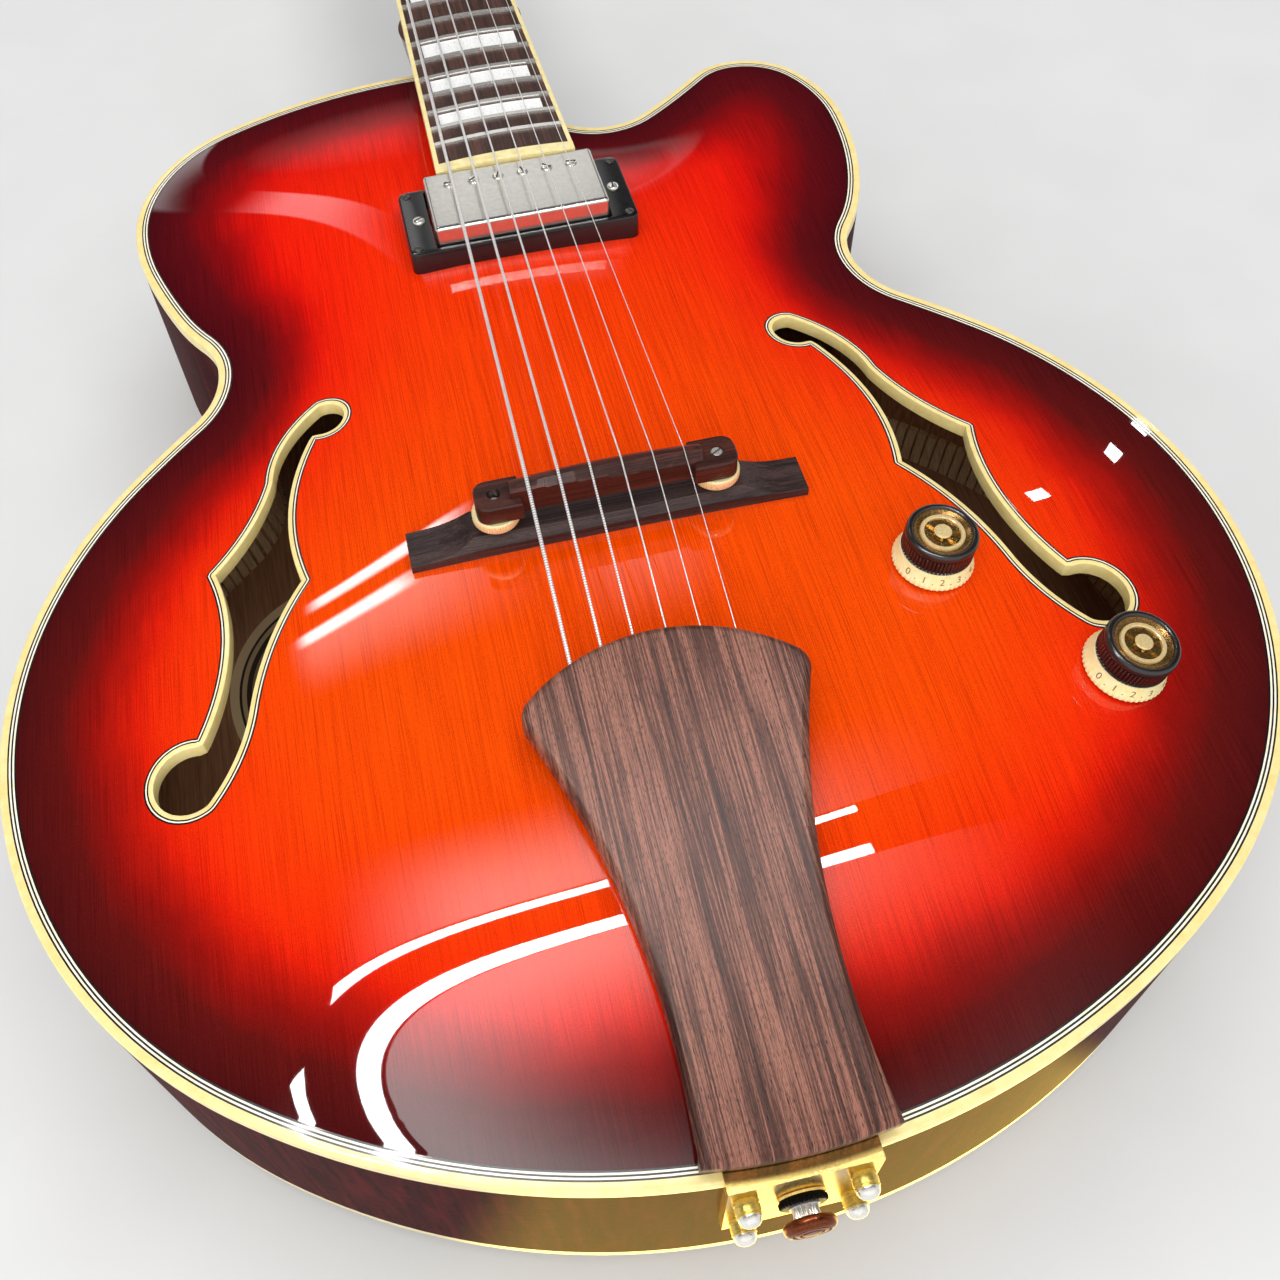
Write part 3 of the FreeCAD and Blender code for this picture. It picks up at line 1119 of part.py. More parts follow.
def make_bracket():
    front = -d.tail_back - d.bracket_thickness
    low, high = d.tail_shift - d.bracket_width / 2, d.tail_shift + d.bracket_width / 2
    middle = hinge_place()
    plate = box(low, high, front, -d.tail_back + d.bracket_thickness, -d.bracket_drop, d.bracket_top)
    lip = box(low, high, front, middle.y, d.bracket_lip_gap, d.bracket_top)
    web_half = d.bracket_web / 2
    web = box(low, high, middle.y - web_half, middle.y + web_half, d.bracket_lip_gap, middle.z)
    bar = rod(V(low, middle.y, middle.z), V(1, 0, 0), d.hinge_rod_radius, d.bracket_width)
    bracket = union([plate, lip, web, bar]).cut(prism(outline, -deep, 0))
    bores = [rod(base, ALONG, d.screw_radius, SPAN) for base in bracket_screw_bases()]
    bores.append(rod(V(d.tail_shift, front, -d.end_pin_drop), ALONG, d.pin_shank_radius, SPAN))
    node("tailpiece_bracket", bracket.cut(Part.makeCompound(bores)))
    out = FreeCAD.Rotation(UP, V(0, -1, 0))
    screws = [(dome_screw(f"bracket_screw_{count}"), place_at(base, out))
              for count, base in enumerate(bracket_screw_bases(), start=1)]
    group("bracket_screws", screws)
    seat = place_at(V(d.tail_shift, front, -d.end_pin_drop), out)
    ring = ("dims.lock_nut_radius", "dims.lock_nut_height")
    ring_bore = ("dims.pin_shank_radius", "dims.lock_nut_height")
    placed("end_pin_nut", turned("lock_nut", [ring], [ring_bore]), seat)
    inside = "dims.pin_shank_length + dims.bracket_thickness"
    shank = ("dims.pin_shank_radius", inside + " + dims.lock_nut_height", f"-({inside})")
    neck = ("dims.pin_neck_radius", "dims.pin_neck_length", "dims.lock_nut_height")
    neck_end = "dims.lock_nut_height + dims.pin_neck_length"
    button = ("dims.pin_button_radius", "dims.pin_button_height", neck_end)
    placed("end_pin", turned("pin", [shank, neck, button]), seat)


# Controls and output jack, with formulas for the foot of a knob and for the floor of its dish
KNOB_FOOT = "dims.dial_gap + dims.dial_height"
KNOB_DISH = KNOB_FOOT + " + dims.knob_height - dims.insert_depth"


def dial(name):
    """Skirt under a knob: a flat brim, and a flare from it up to the foot of the knob."""
    brim = cylinder(name + "_brim", "dims.dial_radius", "dims.dial_brim", "dims.dial_gap")
    flare = cone(name + "_flare", "dims.dial_radius", "dims.knob_radius", "dims.dial_height - dims.dial_brim",
                 "dims.dial_gap + dims.dial_brim")
    hole = cylinder(name + "_hole", "dims.knob_cavity_radius", "dims.dial_height", "dims.dial_gap")
    return cut(name, fused(name + "_whole", [brim, flare]), hole)


def control_pieces(name):
    """Knob, dial, insert and shaft of one control, standing on the top at the origin."""
    shaft_length = KNOB_DISH + " + dims.pot_shaft_drop - dims.pot_shaft_gap"
    block = ("dims.knob_radius", "dims.knob_height", KNOB_FOOT)
    spaces = [
        ("dims.insert_radius", "dims.insert_depth", KNOB_DISH),
        ("dims.knob_cavity_radius", "dims.knob_cavity_height", KNOB_FOOT),
        ("dims.pot_shaft_radius", shaft_length, "-dims.pot_shaft_drop"),
    ]
    dish = ("dims.insert_radius", "dims.insert_depth / 2", KNOB_DISH)
    stud = ("dims.insert_radius / 3", "dims.insert_depth", KNOB_DISH)
    return {
        "knob": turned(name + "_knob", [block], spaces),
        "dial": dial(name + "_dial"),
        "insert": turned(name + "_insert", [dish, stud]),
        "shaft": cylinder(name + "_shaft", "dims.pot_shaft_radius", shaft_length),
    }


def pot(name):
    """Case under the top with a threaded neck through it, its nut and a bore for the shaft."""
    under = "dims.plate_thickness + dims.pot_gap"
    case = ("dims.pot_radius", "dims.pot_height", f"-dims.pot_height - ({under})")
    thread = ("dims.bushing_thread_radius", "dims.bushing_thread_height + " + under, f"-({under})")
    ring = ("dims.pot_nut_radius", "dims.pot_nut_height", "dims.bushing_thread_height - dims.pot_nut_height")
    bore = ("dims.pot_shaft_radius + dims.running_gap", "2 * dims.pot_shaft_drop",
            "-dims.pot_shaft_drop - dims.running_gap")
    return turned(name, [case, thread, ring], [bore])


def make_controls():
    pots = []
    for name, frame in controls.items():
        shaft_frame = frame.multiply(place_at(V(0, 0, -d.pot_shaft_drop)))
        for piece, item in control_pieces(name).items():
            placed(f"{name}_{piece}", item, shaft_frame if piece == "shaft" else frame)
        pots.append((pot(f"{name}_pot"), frame))
        joint_places[name] = (frame.Base, frame.Rotation.multVec(UP))
    group("pots", pots)
    flange = ("dims.jack_flange_radius", "dims.jack_flange_height", "dims.jack_lift")
    sleeve = ("dims.jack_sleeve_radius", "dims.jack_length", "dims.jack_lift - dims.jack_length")
    bore = ("dims.jack_bore_radius", "dims.jack_length",
            "dims.jack_flange_height + dims.jack_lift - dims.jack_length")
    placed("output_jack", turned("jack", [flange, sleeve], [bore]), jack_frame)


def find_jack_frame():
    """Frame on the treble side of the lower bout, at half the depth of the ribs, pointing out."""
    wanted = Part.Vertex(V(d.jack_out, -d.jack_back, 0))
    touched = outline.distToShape(wanted)[1][0][0]
    nearest = min(outline.Edges, key=lambda item: item.distToShape(wanted)[0])
    out = nearest.tangentAt(nearest.Curve.parameter(touched)).cross(UP)
    if out.dot(touched) < 0:
        out = out * -1
    return place_at(touched + V(0, 0, -deep / 2), FreeCAD.Rotation(UP, out))


jack_frame = find_jack_frame()

make_body()
make_neck()
make_truss()
make_board()
make_head_fittings()
make_tuners()
make_pickup()
make_bridge()
make_tailpiece()
make_bracket()
make_controls()
strings = []
for index, gauge in enumerate(STRING_GAUGES):
    path = string_path(index)
    strings.append(tube(path, gauge / 2))
    print(f"string {index + 1}: least gap between turns {self_gap(path, gauge / 2):.2f} mm")
node("strings", Part.makeCompound(strings))
doc.recompute()

# The whole guitar moves so that its origin is under its middle, on the lowest point of the back
tip = head_frame.multVec(V(0, d.head_length, 0)).y
pin_tip = d.tail_back + d.bracket_thickness + d.lock_nut_height + d.pin_neck_length + d.pin_button_height
origin = V(0, -(tip - pin_tip) / 2, lowest)
for item in nodes.values():
    item.Placement = place_at(origin).multiply(item.Placement)
doc.recompute()
joint_places["jack"] = (jack_frame.Base, jack_frame.Rotation.multVec(UP))
print("origin of the working frame", [round(value, 3) for value in origin])
for name, (place, axis) in joint_places.items():
    place = place + origin
    print("axis", name, [round(v, 4) for v in place], [round(v, 6) for v in axis])

# Nothing is written unless every object and every sub-part is sound
for item in doc.Objects:
    if "Invalid" in item.State or "Error" in item.State:
        raise RuntimeError(f"{item.Label} failed: {item.State}")
os.makedirs("parts", exist_ok=True)
for label, item in nodes.items():
    if item.Shape.isNull() or not item.Shape.isValid():
        raise RuntimeError(f"{label} has no sound shape")
for label, item in nodes.items():
    item.Shape.exportStep(f"parts/{label}.step")
print(len(nodes), "sub-parts")
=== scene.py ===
import math

import bmesh
import bpy
import numpy as np
from mathutils import Matrix, Vector
from mathutils.geometry import delaunay_2d_cdt


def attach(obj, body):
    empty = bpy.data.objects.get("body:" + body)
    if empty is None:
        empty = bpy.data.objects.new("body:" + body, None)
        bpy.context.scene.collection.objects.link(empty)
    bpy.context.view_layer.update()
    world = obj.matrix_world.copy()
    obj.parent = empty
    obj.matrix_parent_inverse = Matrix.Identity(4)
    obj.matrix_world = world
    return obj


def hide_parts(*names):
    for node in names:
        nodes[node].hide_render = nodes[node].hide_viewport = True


# Archtop guitar on its back. Shapes are worked out in millimetres with zero at the saddle, on the
# centre line and at the rim of the top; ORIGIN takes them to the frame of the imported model.

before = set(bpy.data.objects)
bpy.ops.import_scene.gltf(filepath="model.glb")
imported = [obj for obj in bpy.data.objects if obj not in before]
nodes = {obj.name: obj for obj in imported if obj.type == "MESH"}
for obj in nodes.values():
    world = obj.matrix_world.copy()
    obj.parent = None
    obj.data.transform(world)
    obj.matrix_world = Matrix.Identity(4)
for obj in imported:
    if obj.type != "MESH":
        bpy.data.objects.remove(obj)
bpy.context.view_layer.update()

ORIGIN = np.array([0.0, -286.1441, 98.1257])
UP = np.array([0.0, 0.0, 1.0])

# Sizes shared by the pieces, in millimetres and degrees
RIM_DEPTH = 84.0
PLATE = 5.0
TOP_ARCH, BACK_ARCH, ARCH_REACH = 16.5, 15.0, 76.0
RIB = 3.0
BINDING_INSET, BINDING_HEIGHT, BINDING_ROUND, BINDING_PROUD, LEVEL_EDGE = 5.6, 5.0, 0.8, 0.02, 3.0
HOLE_LINE = 1.2
HOLE_BINDING = 2.0
SKIN_STEP = 3.0
BOARD_HEIGHT, BOARD_PITCH, BOARD_RADIUS = 38.35, 3.14, 305.0
SCALE_LENGTH, HEAD_ANGLE = 628.0, 14.0
STRING_GAUGES = (1.32, 1.07, 0.81, 0.61, 0.43, 0.33)
STRING_SPREAD, NUT_SPREAD, NUT_RISE, NUT_LENGTH = 52.0, 36.0, 1.8, 6.5
WINDING = 0.9
CONTROLS = {"volume": (98.7, -46.2), "tone": (144.0, -95.4)}
FIRST_NUMBER = {"volume": 206.0, "tone": 198.0}
PICKUP_UP, PICKUP_TOP, RING_DROP = 160.5, 28.0, 7.9
RING_HALF, RING_OPENING, POLE_PITCH, POLE_ROW = (46.0, 21.5), (35.6, 19.4), 10.0, 9.8
BRIDGE_BACK, SADDLE_CREST, SADDLE_FOOT, STRING_LIFT = 3.0, 42.0, 30.0, 0.3
WHEEL_OUT = 37.2
TAIL_FRONT, TAIL_FRONT_HEIGHT, TAIL_BACK, TAIL_BACK_HEIGHT = 63.0, 32.5, 215.0, 12.0
TAIL_HALF, TAIL_BOW, STRING_DROP, STRING_DEPTH = 45.5, 19.0, 4.5, 12.0
TAIL_SHIFT, BRACKET_FRONT, PIN_LEVEL, SCREW_OUT, SCREW_LEVELS = 2.5, -219.0, -17.0, 16.0, (-8.0, -31.0)
POST_OUT, POST_SPLAY, FIRST_POST, POST_STEP = 26.0, 1.2, 44.0, 40.0
WRAP_RADIUS, WRAP_GAP, WRAP_LEVEL, WRAP_TURNS = 3.35, 0.5, 5.1, 3
NUT_HALF, BOARD_FLARE, BOARD_END, BOARD_THICK, HEAD_START = 21.5, 0.01625, 180.0, 6.5, 5.0
LABEL_MIDDLE, LABEL_RADIUS = (-99.6, 18.0, -94.0), 52.0
INLAY_FRETS = (1, 3, 5, 7, 9, 12, 15, 17, 19)
LAMP_AIM = (0.0, -14.0, 2.0)

# Stations of the outline: across, along, and heading in degrees. Both sides share waist and lower bout,
# and the tongue under the neck joins them.
LOWER_BOUT = (
    (0, -216, 180), (-209, -42, 90), (-162.5, 69.5, 46.5), (-128.5, 118, 90), (-143.8, 152.4, 113),
)
BASS_SHOULDER = ((-158, 209, 90), (-28, 292, 0))
CUTAWAY = ((28, 252, 270), (54, 228.2, 0), (84, 242.5, 36.8), (116, 260.3, 0), (154.7, 209, 270))
TONGUE = ((-28, 292), (28, 292))
# Sound hole on the treble side: points where its arcs meet, each followed by a point on the arc from there
F_HOLE_POINTS = (
    (94.4, 66.5), (80.6, 77), (92, 85.2), (107, 70), (113.5, 50), (122, 30.5), (136.5, 12.5), (132.7, -13),
    (143.5, -54), (161, -67), (141, -78.3), (130.5, -64), (124.5, -48), (115.8, -23), (103, -2), (105.7, 24),
)


# Mesh helpers

BOX_RING = ((0, 0), (1, 0), (1, 1), (0, 1))
BOX_FACES = np.array([(0, 3, 2, 1), (4, 5, 6, 7), (0, 1, 5, 4), (1, 2, 6, 5), (2, 3, 7, 6), (3, 0, 4, 7)])


def metres(points):
    return (np.asarray(points, float) + ORIGIN) / 1000


def piece(name, points, faces, finish, slot, stands_for=(), attributes=None, crease=40, closed=True,
          lining=None, lined=None, body="guitar"):
    """One piece from points in working millimetres. Equal points are welded, and the faces of a closed shape
    turn outwards. Edges past crease degrees and the border of an open shape stay sharp. Faces marked in lined
    take the finish of lining."""
    mesh = bpy.data.meshes.new(name)
    mesh.from_pydata(metres(points).tolist(), [], np.asarray(faces).tolist())
    for key, values in (attributes or {}).items():
        mesh.attributes.new(key, "FLOAT", "POINT").data.foreach_set("value", np.asarray(values, np.float32))
    if lined is not None:
        mesh.polygons.foreach_set("material_index", np.asarray(lined, np.int32))
    shape = bmesh.new()
    shape.from_mesh(mesh)
    bmesh.ops.remove_doubles(shape, verts=shape.verts, dist=1e-6)
    bmesh.ops.dissolve_degenerate(shape, edges=shape.edges, dist=1e-7)
    if closed:
        bmesh.ops.recalc_face_normals(shape, faces=shape.faces)
    shape.to_mesh(mesh)
    shape.free()
    mesh.polygons.foreach_set("use_smooth", np.ones(len(mesh.polygons), bool))
    mesh.set_sharp_from_angle(angle=math.radians(crease))
    if not closed:
        corner_edges, sharp = np.empty(len(mesh.loops), np.int32), np.empty(len(mesh.edges), bool)
        mesh.loops.foreach_get("edge_index", corner_edges)
        mesh.edges.foreach_get("use_edge_sharp", sharp)
        border = np.bincount(corner_edges, minlength=len(sharp)) == 1
        mesh.edges.foreach_set("use_edge_sharp", sharp | border)
    made = bpy.data.objects.new(name, mesh)
    bpy.context.scene.collection.objects.link(made)
    mesh.materials.append(finish)
    if lining:
        mesh.materials.append(lining)
    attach(made, body)
    if stands_for:
        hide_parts(*stands_for)
    return made


def grid_faces(rows, columns, close_rows=False, close_columns=False):
    """Quads between neighbouring points of a grid that is stored row by row."""
    row = np.arange(rows if close_rows else rows - 1)
    column = np.arange(columns if close_columns else columns - 1)
    a, b = np.meshgrid(row, column, indexing="ij")
    after, beside = (a + 1) % rows, (b + 1) % columns
    corners = [a * columns + b, a * columns + beside, after * columns + beside, after * columns + b]
    return np.stack(corners, -1).reshape(-1, 4)


def joined(parts):
    """Several (points, faces) pairs as one pair."""
    shift, all_points, all_faces = 0, [], []
    for points, faces in parts:
        all_points.append(points)
        all_faces.append(faces + shift)
        shift += len(points)
    return np.vstack(all_points), np.vstack(all_faces)


def turned(profile, columns=64, ribs=0, rib_depth=0.0, ribbed=(0, 0)):
    """Round piece: the profile of (radius, height) points goes once round the Z axis. Between the heights
    in ribbed, the radius falls by rib_depth in ribs waves."""
    profile = np.asarray(profile, float)
    angle = np.linspace(0, 2 * math.pi, columns, endpoint=False)
    radius, height = profile[:, :1], profile[:, 1:]
    inside = (height >= ribbed[0]) & (height <= ribbed[1])
    wave = rib_depth * (0.5 - 0.5 * np.cos(ribs * angle))[None, :] * inside
    reach = np.maximum(radius - wave, 0)
    points = np.stack([reach * np.cos(angle), reach * np.sin(angle), height + 0 * reach], -1)
    return points.reshape(-1, 3), grid_faces(len(profile), columns, close_columns=True)


def placed(shape, rotation, origin):
    points, faces = shape
    return points @ rotation.T + np.asarray(origin), faces


def bar(low, high):
    """Box between two corners."""
    pick = np.array([(x, y, z) for z in (0, 1) for x, y in BOX_RING])
    return np.array([low, high], float)[pick, np.arange(3)], BOX_FACES


def rounded_loop(corners, bend=8, edge=8):
    """Closed loop through corners given as (x, y, rounding): each corner is a parabola that leaves and meets
    its edges at the rounding's distance, and each edge is cut into even steps."""
    spot = np.array(corners, float)
    ahead = unit(np.roll(spot[:, :2], -1, 0) - spot[:, :2])
    behind = np.roll(ahead, 1, 0)
    first, last = spot[:, :2] - behind * spot[:, 2:], spot[:, :2] + ahead * spot[:, 2:]
    t = np.linspace(0, 1, bend)[None, :, None]
    arcs = first[:, None] * (1 - t) ** 2 + 2 * spot[:, None, :2] * t * (1 - t) + last[:, None] * t ** 2
    s = np.linspace(0, 1, edge, endpoint=False)[None, 1:, None]
    runs = last[:, None] + (np.roll(first, -1, 0) - last)[:, None] * s
    return np.concatenate([arcs, runs], 1).reshape(-1, 2)


def rounded_rectangle(half_x, half_y, rounding):
    """Rectangle about zero with rounded corners."""
    return rounded_loop([((2 * a - 1) * half_x, (2 * b - 1) * half_y, rounding) for a, b in (
        (1, 0), (1, 1), (0, 1), (0, 0))])


def ringed(rows):
    """Closed ring from loops of equal length, each given with its height; the last meets the first."""
    points = np.concatenate([np.column_stack([loop, np.broadcast_to(z, len(loop))]) for loop, z in rows])
    return points, grid_faces(len(rows), len(rows[0][0]), close_rows=True, close_columns=True)


def carried(stations, sections):
    """Section loops of (along, height) points at stations across; the ends close on their loop's middle."""
    caps = np.broadcast_to(sections[[0, -1]].mean(1, keepdims=True), (2,) + sections.shape[1:])
    loops = np.concatenate([caps[:1], sections, caps[1:]])
    across = np.concatenate([stations[:1], stations, stations[-1:]])
    points = np.concatenate([np.broadcast_to(across[:, None, None], loops.shape[:2] + (1,)), loops], -1)
    return points.reshape(-1, 3), grid_faces(len(loops), loops.shape[1], close_columns=True)


def turn_x(degrees):
    c, s = math.cos(math.radians(degrees)), math.sin(math.radians(degrees))
    return np.array([[1, 0, 0], [0, c, -s], [0, s, c]])


def turn_z(radians):
    c, s = math.cos(radians), math.sin(radians)
    return np.array([[c, -s, 0], [s, c, 0], [0, 0, 1]])


def unit(vectors):
    return vectors / np.linalg.norm(vectors, axis=-1, keepdims=True)


# Outline of the body, sound holes and arch

def arc_from(start, heading, end, count=24):
    """Points of the arc that leaves start along heading and meets end, without its last point."""
    chord = end - start
    cross = heading[0] * chord[1] - heading[1] * chord[0]
    bend = 2 * cross / (chord @ chord)
    share = np.arange(count) / count
    if abs(bend) < 1e-9:
        return start + chord * share[:, None]
    centre = start + np.array([-heading[1], heading[0]]) / bend
    first = math.atan2(*(start - centre)[::-1])
    angle = first + 2 * math.atan2(cross, heading @ chord) * share
    return centre + np.stack([np.cos(angle), np.sin(angle)], 1) / abs(bend)


def biarc(first, second):
    """Two arcs between stations that keep both headings and meet smoothly at a joint."""
    start, end = np.array(first[:2], float), np.array(second[:2], float)
    leave, arrive = [
        np.array([math.cos(math.radians(a)), math.sin(math.radians(a))]) for a in (first[2], second[2])]
    gap, bend = end - start, 2 * (1 - leave @ arrive)
    across = gap @ (leave + arrive)
    if bend < 1e-9:
        reach = gap @ gap / (4 * (gap @ arrive))
    else:
        reach = (math.sqrt(across * across + bend * (gap @ gap)) - across) / bend
    joint = (start + end + (leave - arrive) * reach) / 2
    back = arc_from(end, -arrive, joint)
    return np.vstack([arc_from(start, leave, joint), joint[None], back[:0:-1]])


def resampled(loop, count):
    """Closed loop of points as count points at even steps along it."""
    closed = np.vstack([loop, loop[:1]])
    run = np.concatenate([[0], np.cumsum(np.hypot(*np.diff(closed, axis=0).T))])
    step = np.linspace(0, run[-1], count, endpoint=False)
    return np.stack([np.interp(step, run, closed[:, axis]) for axis in (0, 1)], 1)


def runs_left(loop):
    """Whether a closed loop runs anticlockwise, from the sign of the area that it encloses."""
    return np.sum(loop[:, 0] * np.roll(loop[:, 1], -1) - np.roll(loop[:, 0], -1) * loop[:, 1]) > 0


def outward(loop):
    """Unit normals of a closed loop, pointing away from what it encloses."""
    ahead = np.roll(loop, -1, 0) - np.roll(loop, 1, 0)
    normal = unit(np.stack([ahead[:, 1], -ahead[:, 0]], 1))
    return normal if runs_left(loop) else -normal


def three_point_arc(first, middle, last, count=26):
    """Points of the arc through three points, without its last point."""
    a, b, c = (np.array(p, float) for p in (first, middle, last))
    chords = 2 * np.stack([b - a, c - a])
    centre = np.linalg.solve(chords, np.array([b @ b - a @ a, c @ c - a @ a]))
    start, way, end = (math.atan2(*(p - centre)[::-1]) for p in (a, b, c))
    sweep = (end - start) % (2 * math.pi)
    if (way - start) % (2 * math.pi) > sweep:
        sweep -= 2 * math.pi
    angle = start + sweep * np.arange(count) / count
    return centre + np.hypot(*(a - centre)) * np.stack([np.cos(angle), np.sin(angle)], 1)


def side_line(stations):
    """One side of the body: pairs of arcs from station to station."""
    return np.vstack([biarc(a, b) for a, b in zip(stations, stations[1:])])


mirrored_bout = tuple((-x, y, 360 - heading) for x, y, heading in LOWER_BOUT[::-1])
bass_line, treble_line = side_line(LOWER_BOUT + BASS_SHOULDER), side_line(CUTAWAY + mirrored_bout)
OUTLINE = resampled(np.vstack([bass_line, TONGUE, treble_line])[::-1], 720)
OUTLINE_OUT = outward(OUTLINE)
OUTLINE_LENGTH = np.sum(np.hypot(*(OUTLINE - np.roll(OUTLINE, 1, 0)).T))
RIM = resampled(OUTLINE, 960)
RIM_STEP = OUTLINE_LENGTH / len(RIM)
hole_arcs = zip(F_HOLE_POINTS[::2], F_HOLE_POINTS[1::2], F_HOLE_POINTS[2::2] + F_HOLE_POINTS[:1])
F_HOLE = resampled(np.vstack([three_point_arc(*arc) for arc in hole_arcs]), 320)
F_HOLES = [F_HOLE, (F_HOLE * [-1, 1])[::-1]]


def rim_distance(x, y):
    """Smooth distance to the rim, from the summed inverse fourth powers of distances to all rim points."""
    x, y = np.atleast_1d(x), np.atleast_1d(y)
    total = np.zeros(x.shape)
    for rim_x, rim_y in RIM:
        total += 1 / ((x - rim_x) ** 2 + (y - rim_y) ** 2 + 0.01) ** 2
    return (math.pi / 2 / (RIM_STEP * total)) ** (1 / 3)


def fullness(x, y):
    """Share of the arch's height, from nothing at the rim to nearly all of it in the middle."""
    return 1 - np.exp(-(rim_distance(x, y) / ARCH_REACH) ** 2)


def top_height(x, y):
    """Height of the top over its rim: the arch times its fullness."""
    return TOP_ARCH * fullness(np.asarray(x, float), np.asarray(y, float))


def inside(points, loop):
    """Even-odd test of points against a closed loop."""
    x, y = points[:, :1], points[:, 1:]
    x0, y0 = loop[:, 0], loop[:, 1]
    x1, y1 = np.roll(x0, -1), np.roll(y0, -1)
    crosses = (y0 > y) != (y1 > y)
    at = x0 + (y - y0) * (x1 - x0) / np.where(y1 == y0, 1, y1 - y0)
    return np.sum(crosses & (x < at), 1) % 2 == 1


# Materials

# Colour inputs of a mix node by number, and the settings with which it multiplies them
MIX_A, MIX_B = 6, 7
MULTIPLIED = {"data_type": "RGBA", "blend_type": "MULTIPLY", "output": 2}


def colour(code):
    """sRGB hex value as linear red, green, blue and full cover."""
    value = np.array([int(code[i:i + 2], 16) for i in (1, 3, 5)]) / 255
    linear = np.where(value <= 0.04045, value / 12.92, ((value + 0.055) / 1.055) ** 2.4)
    return (*linear.tolist(), 1.0)


def feed(owner, node, inputs):
    """Sets inputs of a named node: outputs of other nodes are linked, anything else is a constant."""
    tree = owner.node_tree
    for key, value in inputs.items():
        socket = tree.nodes[node].inputs[key]
        if isinstance(value, bpy.types.NodeSocket):
            tree.links.new(value, socket)
        else:
            socket.default_value = value


def add(owner, kind, inputs=None, stops=(), steps=False, output=0, **settings):
    """Adds one node and returns one of its outputs. Settings are its properties, inputs its constants or
    links, stops the colours of a ramp, which changes in steps if so set."""
    made = owner.node_tree.nodes.new("ShaderNode" + kind)
    for key, value in settings.items():
        setattr(made, key, value)
    if stops:
        ramp = made.color_ramp.elements
        while len(ramp) < len(stops):
            ramp.new(0.5)
        for element, (place, code) in zip(ramp, stops):
            element.position, element.color = place, colour(code)
        made.color_ramp.interpolation = "CONSTANT" if steps else "LINEAR"
    feed(owner, made.name, inputs or {})
    return made.outputs[output]


def material(name):
    made = bpy.data.materials.new(name)
    made.use_nodes = True
    return made


def shaded(made, **sockets):
    """The material, with inputs of its principled shader set or linked by name."""
    feed(made, "Principled BSDF", {key.replace("_", " "): value for key, value in sockets.items()})
    return made


def stretched(made, *scale):
    """Object coordinates in metres, stretched along each axis; a noise has five cells to one unit of them."""
    return add(made, "Mapping", {"Vector": add(made, "TexCoord", output="Object"), "Scale": scale})


def sunburst_spruce():
    """Spruce with fine straight grain under a sprayed burst, orange to red to wine, and clear lacquer."""
    made = material("lacquered_sunburst_spruce")
    rim = add(made, "Attribute", output="Fac", attribute_name="rim")
    cloud = add(made, "TexNoise", {"Vector": stretched(made, 9, 7, 7), "Detail": 3.0})
    drift = add(made, "Math", {0: cloud, 1: 0.1, 2: -0.05}, operation="MULTIPLY_ADD")
    reach = add(made, "Math", {0: rim, 1: 0.01, 2: drift}, operation="MULTIPLY_ADD")
    burst = add(made, "ValToRGB", {"Fac": reach}, (
        (0.05, "#4C1012"), (0.20, "#641412"), (0.30, "#94120D"), (0.37, "#BC180B"), (0.43, "#E42008"),
        (0.50, "#F83006"), (0.62, "#FF3C05"), (0.80, "#FF4A03"), (1.0, "#FF5203")))
    # the stain is redder towards the neck
    place = add(made, "SeparateXYZ", {"Vector": stretched(made, 1, 1, 1)}, output="Y")
    along = add(made, "MapRange", {"Value": place, "From Min": -0.3, "From Max": -0.12})
    warmth = add(made, "ValToRGB", {"Fac": along}, ((0.0, "#FFFFFF"), (1.0, "#FFA8FF")))
    stain = add(made, "Mix", {"Factor": 1.0, MIX_A: burst, MIX_B: warmth}, **MULTIPLIED)
    # grain lines a quarter of a millimetre wide along the guitar, broken up by flecks
    line = add(made, "TexNoise", {"Vector": stretched(made, 850, 6, 6)})
    fleck = add(made, "TexNoise", {"Vector": stretched(made, 1300, 500, 500)})
    both = add(made, "Math", {0: line, 1: fleck}, operation="MULTIPLY")
    shade = add(made, "ValToRGB", {"Fac": both}, ((0.13, "#B2948C"), (0.34, "#FFFFFF")))
    grained = add(made, "Mix", {"Factor": 0.8, MIX_A: stain, MIX_B: shade}, **MULTIPLIED)
    return shaded(made, Base_Color=grained, Roughness=0.5, Coat_Weight=1.0, Coat_Roughness=0.015,
                  Specular_IOR_Level=0.0)


def wine_maple():
    """Maple back and ribs stained dark wine: faint flames across the grain under a thin lacquer."""
    made = material("lacquered_wine_maple")
    # flames 2 to 7 mm wide, upright on the ribs and across the back, and fine lines along the ribs
    flame = add(made, "TexNoise", {"Vector": stretched(made, 30, 110, 5), "Distortion": 0.4})
    fibre = add(made, "TexNoise", {"Vector": stretched(made, 40, 12, 700)})
    mixed = add(made, "Math", {0: flame, 1: fibre}, operation="MULTIPLY")
    tone = add(made, "ValToRGB", {"Fac": mixed}, ((0.12, "#2A0A0C"), (0.27, "#401011"), (0.42, "#581818")))
    return shaded(made, Base_Color=tone, Roughness=0.5, Coat_Weight=0.1, Coat_Roughness=0.04,
                  Specular_IOR_Level=0.0)


